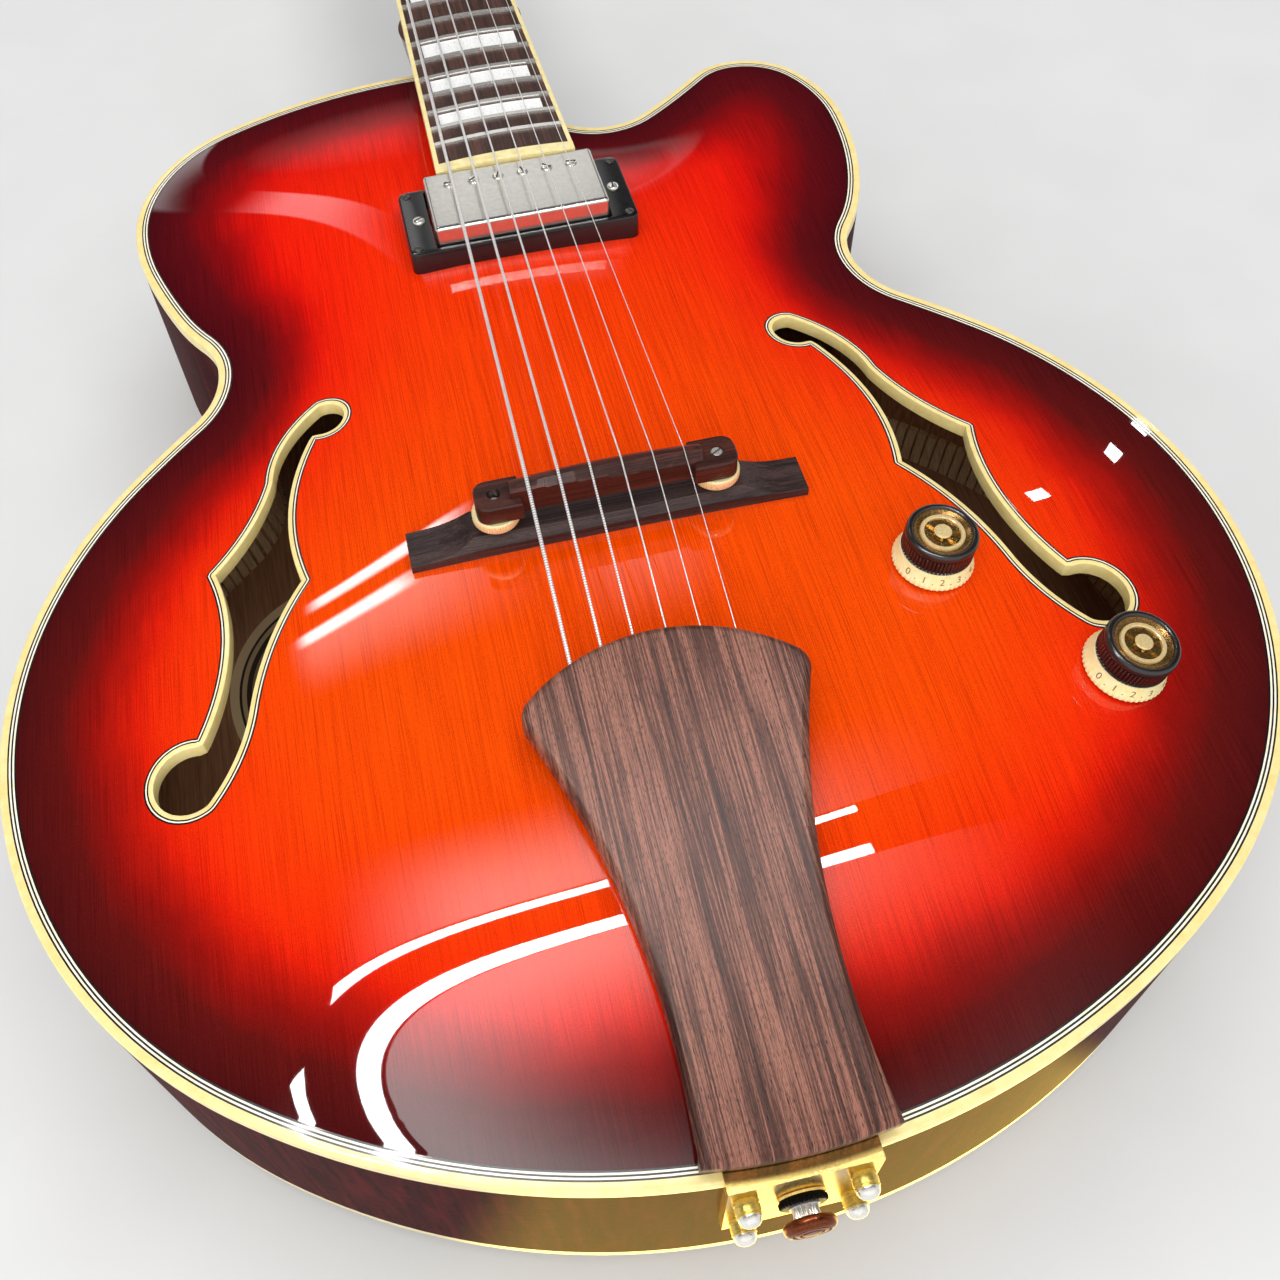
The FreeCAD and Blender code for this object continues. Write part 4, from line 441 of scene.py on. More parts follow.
def banded_celluloid(name, stops):
    """Cream celluloid binding, aged a little, with black and white lines at stops in centimetres."""
    made = material(name)
    across = add(made, "Attribute", output="Fac", attribute_name="across")
    share = add(made, "Math", {0: across, 1: 0.1}, operation="MULTIPLY")
    bands = add(made, "ValToRGB", {"Fac": share}, stops, steps=True)
    age = add(made, "TexNoise", {"Vector": stretched(made, 60, 60, 60), "Detail": 3.0})
    tint = add(made, "ValToRGB", {"Fac": age}, ((0.3, "#F8EFD8"), (0.7, "#FFFFFF")))
    tone = add(made, "Mix", {"Factor": 1.0, MIX_A: bands, MIX_B: tint}, **MULTIPLIED)
    return shaded(made, Base_Color=tone, Roughness=0.3, Coat_Weight=0.4, Coat_Roughness=0.05)


def open_pored_wood(name, dark, mid, light, roughness, crosswise=False):
    """Oiled rosewood: broad bands and fine streaks along the grain, thin dark pores and a satin shine."""
    made = material(name)

    def run(across, along):
        return stretched(made, *((along, across, across) if crosswise else (across, along, 0.04 * across)))

    # bands 4 mm wide, streaks half a millimetre wide, pores 0.1 mm wide and 2 mm long
    broad = add(made, "TexNoise", {"Vector": run(50, 1.5), "Detail": 3.0})
    fine = add(made, "TexNoise", {"Vector": run(380, 5), "Detail": 4.0, "Roughness": 0.62})
    part = add(made, "Math", {0: fine, 1: 0.6}, operation="MULTIPLY")
    streak = add(made, "Math", {0: broad, 1: 0.4, 2: part}, operation="MULTIPLY_ADD")
    tone = add(made, "ValToRGB", {"Fac": streak}, ((0.34, dark), (0.47, mid), (0.58, light), (0.68, mid)))
    pore = add(made, "TexNoise", {"Vector": run(1900, 95), "Detail": 1.0})
    lines = add(made, "ValToRGB", {"Fac": pore}, ((0.34, "#2E221E"), (0.42, "#FFFFFF")))
    stain = add(made, "Mix", {"Factor": 1.0, MIX_A: tone, MIX_B: lines}, **MULTIPLIED)
    relief = add(made, "Bump", {"Height": pore, "Strength": 0.08, "Distance": 0.0004})
    return shaded(made, Base_Color=stain, Normal=relief, Roughness=roughness, Specular_IOR_Level=0.28)


def plain_wood(name, dark, light, scale, roughness, coat=0.0):
    """Straight-grained wood: fibres drawn out along the guitar, lacquered where coat is set."""
    made = material(name)
    fibre = add(made, "TexNoise", {"Vector": stretched(made, *scale), "Detail": 4.0, "Roughness": 0.6})
    tone = add(made, "ValToRGB", {"Fac": fibre}, ((0.3, dark), (0.7, light)))
    return shaded(made, Base_Color=tone, Roughness=roughness, Coat_Weight=coat, Coat_Roughness=0.05)


def mottled(name, low, high, roughness, spread, grain, noise, **sockets):
    """One noise in all directions changes both the tone, from low to high, and the polish."""
    made = material(name)
    cloud = add(made, "TexNoise", {"Vector": stretched(made, grain, grain, grain), **noise})
    tone = add(made, "ValToRGB", {"Fac": cloud}, ((0.3, low), (0.7, high)))
    polish = add(made, "MapRange", {"Value": cloud, "To Min": roughness, "To Max": roughness + spread})
    return shaded(made, Base_Color=tone, Roughness=polish, **sockets)


def plated(name, low, high, roughness, spread, grain=260, metal=1.0):
    """Plated metal with a fine haze of handling marks. A lower metal share gives a worn, scattering face."""
    haze = {"Detail": 5.0, "Roughness": 0.65}
    return mottled(name, low, high, roughness, spread, grain, haze, Metallic=metal)


def moulded(name, low, high, roughness, spread, grain=180, coat=0.0):
    """Moulded plastic, bone or ink: slow shifts of tone and a slightly uneven polish."""
    cloud = {"Detail": 3.0}
    return mottled(name, low, high, roughness, spread, grain, cloud, Coat_Weight=coat, Coat_Roughness=0.03)


def pearl():
    """Pearl blocks: bright clouds that swirl within each block under a clear polish."""
    made = material("pearl_celluloid")
    swirl = add(made, "TexNoise", {"Vector": stretched(made, 120, 60, 60), "Distortion": 2.2})
    tone = add(made, "ValToRGB", {"Fac": swirl}, ((0.3, "#E2E2DE"), (0.5, "#FFFFFF"), (0.68, "#EEEDE8")))
    return shaded(made, Base_Color=tone, Roughness=0.2, Coat_Weight=0.5, Coat_Roughness=0.03)


def ringed_label():
    """Paper label: tan bands and dark rings about its middle, with no words on it."""
    made = material("printed_paper_label")
    middle = metres([LABEL_MIDDLE])[0]
    reach = add(made, "VectorMath", {0: stretched(made, 1, 1, 0), 1: (middle[0], middle[1], 0)},
                output="Value", operation="DISTANCE")
    share = add(made, "Math", {0: reach, 1: 1000 / LABEL_RADIUS}, operation="MULTIPLY")
    rings = add(made, "ValToRGB", {"Fac": share}, (
        (0.0, "#A4845A"), (0.835, "#34200F"), (0.875, "#D8B884"), (0.908, "#34200F"), (0.927, "#FFE0A8")),
        steps=True)
    return shaded(made, Base_Color=rings, Roughness=0.75)


def wound_steel_painted_turns():
    """Nickel-wound string: painted highlights on the wire turns across the string and painted shade in the
    grooves between them, drawn far enough apart to show.
    """
    made = material("nickel_wound_painted_turn_shade")
    along = add(made, "Attribute", output="Fac", attribute_name="along")
    wave = add(made, "Math", {0: along, 1: 2 * math.pi / WINDING}, operation="MULTIPLY")
    turns = add(made, "Math", {0: wave}, operation="SINE")
    share = add(made, "MapRange", {"Value": turns, "From Min": -1.0})
    # white crests are painted highlights on each turn, grey troughs painted shade between turns
    tone = add(made, "ValToRGB", {"Fac": share}, ((0.0, "#B4B0AA"), (0.6, "#FFFFFF")))
    return shaded(made, Base_Color=tone, Metallic=0.6, Roughness=0.35)


CREAM = "#F8E6A4"
WHITE, BLACK = "#FFFBEE", "#0E0B0C"
spruce_finish = sunburst_spruce()
maple_finish = wine_maple()
raw_finish = plain_wood("raw_inner_wood", "#9A6440", "#CC9468", (260, 9, 30), 0.8)
rim_binding_finish = banded_celluloid("lined_cream_celluloid", (
    (0.0, BLACK), (0.055, WHITE), (0.115, BLACK), (0.17, WHITE), (0.23, BLACK), (0.285, CREAM)))
hole_binding_finish = banded_celluloid("edged_cream_celluloid", (
    (0.0, BLACK), (0.055, WHITE), (0.105, BLACK), (0.155, CREAM)))
cream_finish = moulded("cream_celluloid", "#EAD690", "#F6E7AE", 0.3, 0.1, 60, 0.3)
lining_finish = plain_wood("raw_lining_wood", "#D8B488", "#FFE2B0", (300, 40, 40), 0.8)
label_finish = ringed_label()
neck_finish = plain_wood("lacquered_mahogany_neck", "#2A120C", "#5A2E1C", (220, 9, 60), 0.4, 0.5)
steel_finish = plated("plain_steel", "#8E8E8E", "#B4B4B2", 0.3, 0.12)
rosewood_finish = open_pored_wood("oiled_rosewood", "#1E0F0B", "#563329", "#9C6856", 0.42)
board_finish = open_pored_wood("rosewood_board", "#2A1814", "#3E2620", "#5C3C32", 0.5)
bridge_finish = open_pored_wood("dark_rosewood_bridge", "#1A1110", "#2E201E", "#483633", 0.42, True)
saddle_finish = open_pored_wood("reddish_rosewood_saddle", "#1C0B09", "#341913", "#54291F", 0.4, True)
pearl_finish = pearl()
nickel_finish = plated("satin_nickel", "#D2CFC8", "#E2DFD8", 0.2, 0.08, 90)
bright_finish = plated("polished_nickel", "#E0DDD6", "#F6F4EE", 0.16, 0.1, 260, 0.75)
bone_finish = moulded("polished_bone", "#D8CFB4", "#EAE4D0", 0.3, 0.1)
veneer_finish = plain_wood("black_lacquered_veneer", "#060506", "#141114", (200, 10, 10), 0.3, 0.6)
black_finish = moulded("black_abs", "#08080A", "#131214", 0.2, 0.1, 90, 0.3)
gold_finish = plated("gold_plate", "#DDB254", "#FBE294", 0.18, 0.12, 320)
pale_gold_finish = plated("pale_gold_plate", "#EEE096", "#FBF4C6", 0.28, 0.1, 320, 0.4)
spacer_finish = plated("brushed_gold_plate", "#D8B84C", "#F2DC86", 0.25, 0.1, 320, 0.8)
warm_gold_finish = plated("warm_gold_plate", "#E4C080", "#F6E2AC", 0.25, 0.1, 320, 0.4)
smoked_gold_finish = plated("smoked_gold", "#4A3014", "#94703A", 0.22, 0.1, 320, 0.7)
copper_finish = plated("brown_copper", "#5E2E1C", "#8E4E32", 0.25, 0.12, 320)
black_metal_finish = plated("blackened_steel", "#181616", "#2C2A2A", 0.35, 0.1)
# dark bars on the screw heads: painted shade that stands for the hollow of each slot
slot_shade_finish = moulded("painted_slot_shadow", "#2A2724", "#3C3834", 0.6, 0.1)
dull_finish = plated("dark_nickel", "#4E4C4A", "#72706C", 0.3, 0.1, 260, 0.7)
string_finish = plated("plain_steel_string", "#E4E2DC", "#FFFFFF", 0.3, 0.1, 500, 0.7)
painted_turns_finish = wound_steel_painted_turns()
knob_finish = moulded("brown_black_rubber", "#0D0A0A", "#1E1613", 0.25, 0.12, 300, 0.5)
dial_finish = moulded("cream_dial_plastic", "#F2EDA2", "#FAF8C4", 0.35, 0.1, 120)
number_finish = moulded("brown_dial_ink", "#806A42", "#947E52", 0.5, 0.1)

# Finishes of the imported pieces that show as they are
TUNERS = [f"tuner_{part}_{number}" for part in ("post", "button") for number in range(1, 7)]
for finish, names in (
        (label_finish, ["label"]), (neck_finish, ["neck"]), (board_finish, ["fingerboard"]),
        (cream_finish, ["fingerboard_binding"]), (bright_finish, ["frets"]), (bone_finish, ["nut"]),
        (veneer_finish, ["headstock_veneer"]), (nickel_finish, ["pickup_cover"]),
        (rosewood_finish, ["tailpiece"]), (black_finish, ["truss_rod_cover", "pickup_bobbins"]),
        (lining_finish, ["end_blocks", "tone_bars"]),
        (steel_finish, ["truss_rod", "pickup_baseplate", "volume_shaft", "tone_shaft", "pots"]),
        (gold_finish, ["headstock_screws", "tuner_housings", "tuner_bushings", "tailpiece_bracket"]),
        (gold_finish, ["output_jack"] + TUNERS)):
    for name in names:
        nodes[name].data.materials.clear()
        nodes[name].data.materials.append(finish)


# Plates, ribs, bindings and linings

def plate(name, holes, height, finish, slot, up=True):
    """Arched skin: rim, rings inside it, hole edges and a square grid of points are joined into triangles,
    and each point is lifted to the arch; a solidify modifier gives the plate its thickness."""
    edge = OUTLINE - OUTLINE_OUT * BINDING_INSET
    loops = [edge] + [hole + outward(hole) * HOLE_LINE for hole in holes]
    low, high = edge.min(0), edge.max(0)
    steps = [np.arange(low[axis], high[axis], SKIN_STEP) for axis in (0, 1)]
    grid = np.stack(np.meshgrid(*steps), -1).reshape(-1, 2)
    rings = [edge - OUTLINE_OUT * depth for depth in (1.0, 2.2, 3.6, 5.4, 7.6)]
    keep = inside(grid, rings[-1] - OUTLINE_OUT * SKIN_STEP / 2)
    for loop in loops[1:]:
        keep &= ~inside(grid, loop + outward(loop) * SKIN_STEP / 2)
    flat = np.vstack(loops + rings + [grid[keep]])
    links, first = [], 0
    for loop in loops:
        place = np.arange(len(loop))
        links.append(np.stack([place, (place + 1) % len(loop)], 1) + first)
        first += len(loop)
    ends = [tuple(pair) for pair in np.vstack(links).tolist()]
    made = delaunay_2d_cdt([Vector(p) for p in flat.tolist()], ends, [], 0, 1e-6, False)
    flat = np.array([tuple(p) for p in made[0]])
    faces = np.array(made[2])
    middle = flat[faces].mean(1)
    keep = inside(middle, edge)
    for loop in loops[1:]:
        keep &= ~inside(middle, loop)
    points = np.column_stack([flat, height(*flat.T)])
    faces = faces[keep] if up else faces[keep][:, ::-1]
    skin = piece(name, points, faces, finish, slot, (name.replace("skin", "plate"),),
                 {"rim": rim_distance(*flat.T)}, 60, closed=False, lining=raw_finish)
    wall = skin.modifiers.new("thickness", "SOLIDIFY")
    wall.thickness, wall.offset, wall.material_offset = PLATE / 1000, -1, 1


def along_loop(loop, profile, height):
    """Closed profile carried along a closed loop: each profile point gives a distance out of the loop and a
    height over the surface there. Returns points, faces and the run across the profile."""
    profile = np.asarray(profile, float)
    normal = outward(loop)
    spot = loop[:, None, :] + normal[:, None, :] * profile[None, :, :1]
    rise = height(spot[..., 0], spot[..., 1]) + profile[None, :, 1]
    points = np.concatenate([spot, rise[..., None]], -1).reshape(-1, 3)
    run = np.concatenate([[0], np.cumsum(np.hypot(*np.diff(profile, axis=0).T))])
    faces = grid_faces(len(loop), len(profile), close_rows=True, close_columns=True)
    return points, faces[:, ::-1] if runs_left(loop) else faces, np.tile(run, len(loop))


def back_height(x, y):
    """Height of the back: below its rim by the arch times its fullness."""
    return -RIM_DEPTH - BACK_ARCH * fullness(x, y)


def level_edge(height, level):
    """The given height, but level close to the rim."""
    return lambda x, y: np.where(rim_distance(x, y) > LEVEL_EDGE, height(x, y), level)


plate("top_skin", F_HOLES, top_height, spruce_finish, "sunburst_spruce")
plate("back_skin", [], back_height, maple_finish, "wine_maple", up=False)

# Binding section from its inner line over the rounded rim and down the side
rounding = [(BINDING_ROUND * (math.sin(a) - 1), BINDING_ROUND * (math.cos(a) - 1))
            for a in np.radians([0, 22, 45, 68, 90])]
section = [(out, BINDING_PROUD) for out in (-BINDING_INSET, -4.2, -2.9)] + [(-2.0, 0.0)] + rounding
section += [(0, -BINDING_HEIGHT), (-4, -BINDING_HEIGHT), (-BINDING_INSET, -2)]
upper = along_loop(OUTLINE, section, level_edge(top_height, 0))
lower = along_loop(OUTLINE, [(out, -rise) for out, rise in section], level_edge(back_height, -RIM_DEPTH))
rims = joined([upper[:2], (lower[0], lower[1][:, ::-1])])
piece("rim_bindings", *rims, rim_binding_finish, "cream_binding", ("body_binding",),
      {"across": np.concatenate([upper[2], lower[2]])})

wall_section = [(0, -PLATE), (0, PLATE - RIM_DEPTH), (-RIB, PLATE - RIM_DEPTH), (-RIB, -PLATE)]
walls = along_loop(OUTLINE, wall_section, lambda x, y: np.zeros(np.shape(x)))
piece("rib_band", *walls[:2], maple_finish, "wine_maple", ("ribs",), lining=raw_finish,
      lined=np.tile([0, 1, 1, 1], len(OUTLINE)))

edge_section = [(HOLE_LINE, 0.02), (0.8, 0.03), (0, 0.03), (-1.4, 0.03), (-1.85, -0.15),
                (-HOLE_BINDING, -0.6), (-HOLE_BINDING, -PLATE - 0.3), (HOLE_LINE, -PLATE - 0.3)]
edges = [along_loop(hole, edge_section, top_height) for hole in F_HOLES]
piece("sound_hole_edges", *joined([e[:2] for e in edges]), hole_binding_finish, "cream_binding",
      ("f_hole_bindings",), {"across": np.concatenate([e[2] for e in edges])})


def kerfed_linings():
    """Rows of small tapered blocks, sawn apart by kerfs, along the inside of the ribs at top and back."""
    pitch, kerf, width, tall, tip = 4.6, 0.9, 6.0, 14.0, 2.0
    tail_gap, neck_gap, neck_from = 40, 26, 200
    loop = resampled(OUTLINE, int(OUTLINE_LENGTH / pitch))
    out = outward(loop)
    ahead = np.stack([-out[:, 1], out[:, 0]], 1)
    half = (pitch - kerf) / 2
    block = np.array([((2 * a - 1) * half, b * deep, level) for level, deep in ((0, width), (-tall, tip))
                      for a, b in BOX_RING])
    seat = loop - out * RIB
    # the end blocks stand where the rows are left open
    off_centre, along = np.abs(seat[:, 0]), seat[:, 1]
    clear = ((off_centre >= tail_gap) | (along >= 0)) & ((off_centre >= neck_gap) | (along <= neck_from))
    seat, out, ahead = seat[clear], out[clear], ahead[clear]
    parts = []
    for level, way in ((-PLATE, 1), (PLATE - RIM_DEPTH, -1)):
        spot = seat[:, None] + ahead[:, None] * block[None, :, :1] - out[:, None] * block[None, :, 1:2]
        rise = np.broadcast_to(level + way * block[None, :, 2], spot.shape[:2])
        points = np.concatenate([spot, rise[..., None]], -1).reshape(-1, 3)
        faces = (BOX_FACES[None] + 8 * np.arange(len(seat))[:, None, None]).reshape(-1, 4)
        parts.append((points, faces if way > 0 else faces[:, ::-1]))
    return joined(parts)


piece("kerfed_linings", *kerfed_linings(), lining_finish, "pale_lining_wood", ("linings",))


# Strings

board_turn = turn_x(-BOARD_PITCH)
head_turn = turn_x(-BOARD_PITCH - HEAD_ANGLE)
head_base = board_turn @ np.array([0, SCALE_LENGTH + HEAD_START, -BOARD_THICK]) + [0, 0, BOARD_HEIGHT]
tail_slope = math.atan2(TAIL_FRONT_HEIGHT - TAIL_BACK_HEIGHT, TAIL_BACK - TAIL_FRONT)
tail_turn = turn_x(math.degrees(tail_slope))


def crown(x):
    """Drop of the radiused board away from its centre line."""
    return BOARD_RADIUS - np.sqrt(BOARD_RADIUS ** 2 - x * x)


def string_line(index):
    """Points of one string: out of the tailpiece, over saddle and nut, and three turns down its post."""
    share, gauge = index / 5 - 0.5, STRING_GAUGES[index]
    x, nut_x = share * STRING_SPREAD, share * NUT_SPREAD
    saddle = np.array([x, -BRIDGE_BACK, SADDLE_CREST - crown(x) + STRING_LIFT + gauge / 2])
    nut = board_turn @ np.array([nut_x, SCALE_LENGTH, NUT_RISE - crown(nut_x) + gauge / 2])
    nut = nut + [0, 0, BOARD_HEIGHT]
    nut = nut + unit(nut - saddle) * NUT_LENGTH
    # the front of the tailpiece is an arc, and the string comes out of it below the edge
    front = (TAIL_HALF ** 2 + TAIL_BOW ** 2) / (2 * TAIL_BOW)
    setback = front - math.sqrt(front ** 2 - x * x)
    mouth = tail_turn @ np.array([x, -setback, -STRING_DROP]) + [0, -TAIL_FRONT, TAIL_FRONT_HEIGHT]
    tail = mouth + unit(mouth - saddle) * STRING_DEPTH
    side = -1 if index < 3 else 1
    rank = index if index < 3 else 5 - index
    post = np.array([side * (POST_OUT + POST_SPLAY * rank), FIRST_POST + POST_STEP * rank])
    wrap, pitch = WRAP_RADIUS + gauge / 2, gauge + WRAP_GAP
    arrival = head_turn.T @ (nut - head_base)
    gap = post - arrival[:2]
    ahead = math.atan2(gap[1], gap[0]) + side * math.asin(wrap / np.hypot(*gap))
    angle = np.linspace(0, 2 * WRAP_TURNS * math.pi, 36 * WRAP_TURNS + 1)
    spin = ahead + side * math.pi / 2 - side * angle
    level = WRAP_LEVEL + WRAP_TURNS * pitch - pitch * angle / (2 * math.pi)
    turns = np.stack([post[0] + wrap * np.cos(spin), post[1] + wrap * np.sin(spin), level], 1)
    turns = turns @ head_turn.T + head_base
    share = np.linspace(0, 1, 40, endpoint=False)[:, None]
    bends = (tail, saddle, nut, turns[0])
    return np.vstack([a + (b - a) * share for a, b in zip(bends, bends[1:])] + [turns])


def tube(path, radius, columns=10):
    """Round tube: a circle of the given radius stands square to the path at each of its points, and shrinks
    to nothing at both ends, which closes them. Returns points, faces and the run along the path."""
    ahead = unit(np.gradient(path, axis=0))
    side = unit(np.cross(ahead, head_turn @ UP))
    over = np.cross(side, ahead)
    angle = np.linspace(0, 2 * math.pi, columns, endpoint=False)
    ring = side[:, None] * np.cos(angle)[None, :, None] + over[:, None] * np.sin(angle)[None, :, None]
    rings = path[:, None] + radius * ring
    first, last = (np.repeat(path[end][None, None], columns, 1) for end in (0, -1))
    points = np.concatenate([first, rings, last])
    run = np.concatenate([[0, 0], np.cumsum(np.linalg.norm(np.diff(path, axis=0), axis=1))])
    faces = grid_faces(len(points), columns, close_columns=True)
    return points.reshape(-1, 3), faces, np.repeat(np.append(run, run[-1]), columns)


def string_set(name, indices, finish):
    tubes = [tube(string_line(i), STRING_GAUGES[i] / 2) for i in indices]
    piece(name, *joined([t[:2] for t in tubes]), finish, "string_steel", ("strings",),
          {"along": np.concatenate([t[2] for t in tubes])})


string_set("wound_strings", (0, 1, 2), painted_turns_finish)
string_set("plain_strings", (3, 4, 5), string_finish)


# Board: blocks and end strip

def board_half(y):
    """Half width of the board, which grows evenly from the nut."""
    return NUT_HALF + (SCALE_LENGTH - y) * BOARD_FLARE


def on_board(half, section):
    """Section of (along, height) points carried across the board, sunk by the board's crown."""
    across = np.linspace(-half, half, 21)
    sunk = np.stack([0 * across, crown(across)], 1)
    loops = np.array(section, float)[None] - sunk[:, None]
    return placed(carried(across, loops), board_turn, [0, 0, BOARD_HEIGHT])


def pearl_blocks():
    """Block between two frets on each marked space, a hair above the board."""
    margin, border, foot, face, shapes = 2.2, 6.2, -1.4, 0.03, []
    for number in INLAY_FRETS:
        low, high = (SCALE_LENGTH * 2 ** (-n / 12) for n in (number, number - 1))
        low, high = low + margin, high - margin
        section = [(low, foot), (low, face), (high, face), (high, foot)]
        shapes.append(on_board(board_half((low + high) / 2) - border, section))
    return joined(shapes)


piece("pearl_blocks", *pearl_blocks(), pearl_finish, "pearl", ("position_inlays",))
end_section = [(BOARD_END + along, rise) for along, rise in (
    (-0.1, -BOARD_THICK), (-0.1, -0.4), (0.3, 0.05), (5, 0.05), (5, -0.5), (1, -6.4))]
piece("board_end_strip", *on_board(board_half(BOARD_END), end_section), cream_finish, "cream_binding")


# Pickup ring, its screws and the pole screws

pickup_place = np.array([0, PICKUP_UP, PICKUP_TOP])


def pickup_ring():
    """Frame with rounded corners and edges; its foot follows the arch of the top."""
    outer, inner = rounded_rectangle(*RING_HALF, 4), rounded_rectangle(*RING_OPENING, 1.5)
    foot, edge = -14, 0.9
    rows = [(outer, foot), (outer, -RING_DROP - edge), (outer - outward(outer) * 0.3, -RING_DROP - 0.25),
            (outer - outward(outer) * edge, -RING_DROP), (inner, -RING_DROP), (inner, foot)]
    points, faces = placed(ringed(rows), board_turn, pickup_place)
    under = np.r_[0:len(outer), len(points) - len(outer):len(points)]
    points[under, 2] = top_height(points[under, 0], points[under, 1]) - 0.05
    return points, faces


def screw_head(radius, rise):
    """Low dome on a short wall."""
    return turned([(0, -1), (radius, -1), (radius, 0.4 * rise), (0.85 * radius, 0.75 * rise),
                   (0.5 * radius, 0.95 * rise), (0, rise)], 40)


def slot_shade_bar(length, level, turn):
    """Narrow dark bar that stands for the slot across a screw head; its dark colour is painted shade for the
    slot's hollow.
    """
    half, deep = 0.3, 0.4
    return placed(bar((-length / 2, -half, level - deep), (length / 2, half, level)), turn_z(turn), [0, 0, 0])


def set_into_pickup(shape, x, y, z):
    return placed(placed(shape, np.eye(3), [x, y, z]), board_turn, pickup_place)


piece("pickup_frame", *pickup_ring(), black_finish, "black_plastic", ("pickup_ring",))
corner_spots = [(x, y) for x in (-42.6, 42.6) for y in (-17.9, 17.9)]
height_spots = [(-39.8, 0), (39.8, 0)]
pole_spots = [(POLE_PITCH * (i - 2.5), POLE_ROW) for i in range(6)]
slot_shades = []


def pickup_screws(name, spots, level, head, finish, node, slot_shade_size, turns):
    """Row of screw heads as one piece; the dark bars of painted shade in their slots are kept for a piece of
    their own.
    """
    heads = [set_into_pickup(screw_head(*head), x, y, level) for x, y in spots]
    piece(name, *joined(heads), finish, "nickel", (node,))
    slot_shades.extend(set_into_pickup(slot_shade_bar(*slot_shade_size, turn), x, y, level) for (x, y), turn in zip(spots, turns))


pickup_screws("ring_corner_screws", corner_spots, -RING_DROP, (1.7, 0.7), dull_finish, "pickup_screws",
              (2.6, 0.76), range(4))
pickup_screws("ring_height_screws", height_spots, -RING_DROP, (2.4, 1.3), bright_finish, "pickup_screws",
              (4, 1.36), (0.5, 1.5))
pickup_screws("slotted_poles", pole_spots, 0, (2.4, 0.9), bright_finish, "pickup_pole_screws",
              (4, 0.97), 0.6 * np.arange(6))


# Bridge

def base_shape():
    """Bridge base across the guitar: a block with a bevelled front edge between two scooped, thin ends; the
    underside follows the arch of the top."""
    half, end_rise, front, back, block, scoop = 68.0, 3.5, -10.5, 4.5, 46.0, 17.0
    level, bevel, edge = 22.5, 3.2, 0.3
    x = np.linspace(-half, half, 137)
    thin = top_height(x, 0 * x - BRIDGE_BACK) + end_rise
    rise = np.clip(1 - (np.abs(x) - block) / scoop, 0, 1) ** 2.4
    top = thin + (level - thin) * rise
    cut = np.maximum(bevel * np.clip((top - thin) / 4, 0, 1), edge)
    low_front, low_back = (top_height(x, 0 * x + y) + 0.02 for y in (front, back))
    full = np.ones_like(x)
    section = [(front * full, low_front), (front * full, top - cut), (front + cut, top),
               (back * full - edge, top), (back * full, top - edge), (back * full, low_back)]
    return carried(x, np.stack([np.stack(pair, -1) for pair in section], 1))


def saddle_bar():
    """Saddle: upright front, a bevel that steps from string to string up to the crest, and a sloped back."""
    x = np.linspace(-32, 32, 129)
    front, back, slope = -6.5, 0.5, 2.2
    crest = SADDLE_CREST - crown(x)
    step = np.interp(x, (-32, -21, -20, -10.5, -9.5, 0, 1, 10, 11, 21, 22, 32),
                     (0.8, 1.3, 2.0, 2.2, 3.0, 3.2, 3.8, 4.2, 3.4, 4.6, 3.8, 4.2))
    full = np.ones_like(x)
    section = [(front * full, SADDLE_FOOT * full), (front * full, crest - step), (-3.9 * full, crest),
               (-2.2 * full, crest), (back * full, crest - slope), (back * full, SADDLE_FOOT * full)]
    return carried(x, np.stack([np.stack(pair, -1) for pair in section], 1))


def saddle_lobe(side):
    """Flat-topped lobe with rounded outer corners: its outline goes up the walls, in over a small bevel and
    down the hole for the post."""
    near, far, half, bore, level, bevel = 28.5, 43.7, 6.5, 2.2, 37, 0.5
    loop = rounded_loop(((near, -half, 0.5), (far, -half, 5), (far, half, 5), (near, half, 0.5)))
    centre = np.array([WHEEL_OUT, 0])
    hole = centre + bore * unit(loop - centre)
    rows = [(loop, SADDLE_FOOT), (loop, level - bevel), (loop - outward(loop) * bevel, level), (hole, level),
            (hole, SADDLE_FOOT)]
    return placed(ringed(rows), np.diag([side, 1, 1]), [0, -BRIDGE_BACK, 0])


def at_post(shape, side):
    return placed(shape, np.eye(3), [side * WHEEL_OUT, -BRIDGE_BACK, 0])


def post(side, level):
    """Threaded post, a hair thinner than its hole, with a small bevel at its end."""
    profile = [(0, 17.5), (2.1, 17.5), (2.1, level - 0.4), (1.7, level), (0, level)]
    return at_post(turned(profile, 32), side)


def knurled_wheel(side):
    """Thumbwheel with chamfered, finely knurled rim."""
    profile = [(2.2, 25.7), (7.4, 25.7), (8.0, 26.3), (8.0, 29.1), (7.4, 29.7), (2.2, 29.7), (2.2, 25.7)]
    return at_post(turned(profile, 240, 60, 0.3, (26.2, 29.2)), side)


piece("bevelled_base", *base_shape(), bridge_finish, "rosewood", ("bridge_base",), crease=25)
piece("stepped_saddle", *joined([saddle_bar(), saddle_lobe(-1), saddle_lobe(1)]), saddle_finish, "rosewood",
      ("bridge_saddle",), crease=25, body="saddle")
piece("saddle_posts", *joined([post(-1, 33.5), post(1, 36.7)]), bright_finish, "nickel",
      ("bridge_posts",))
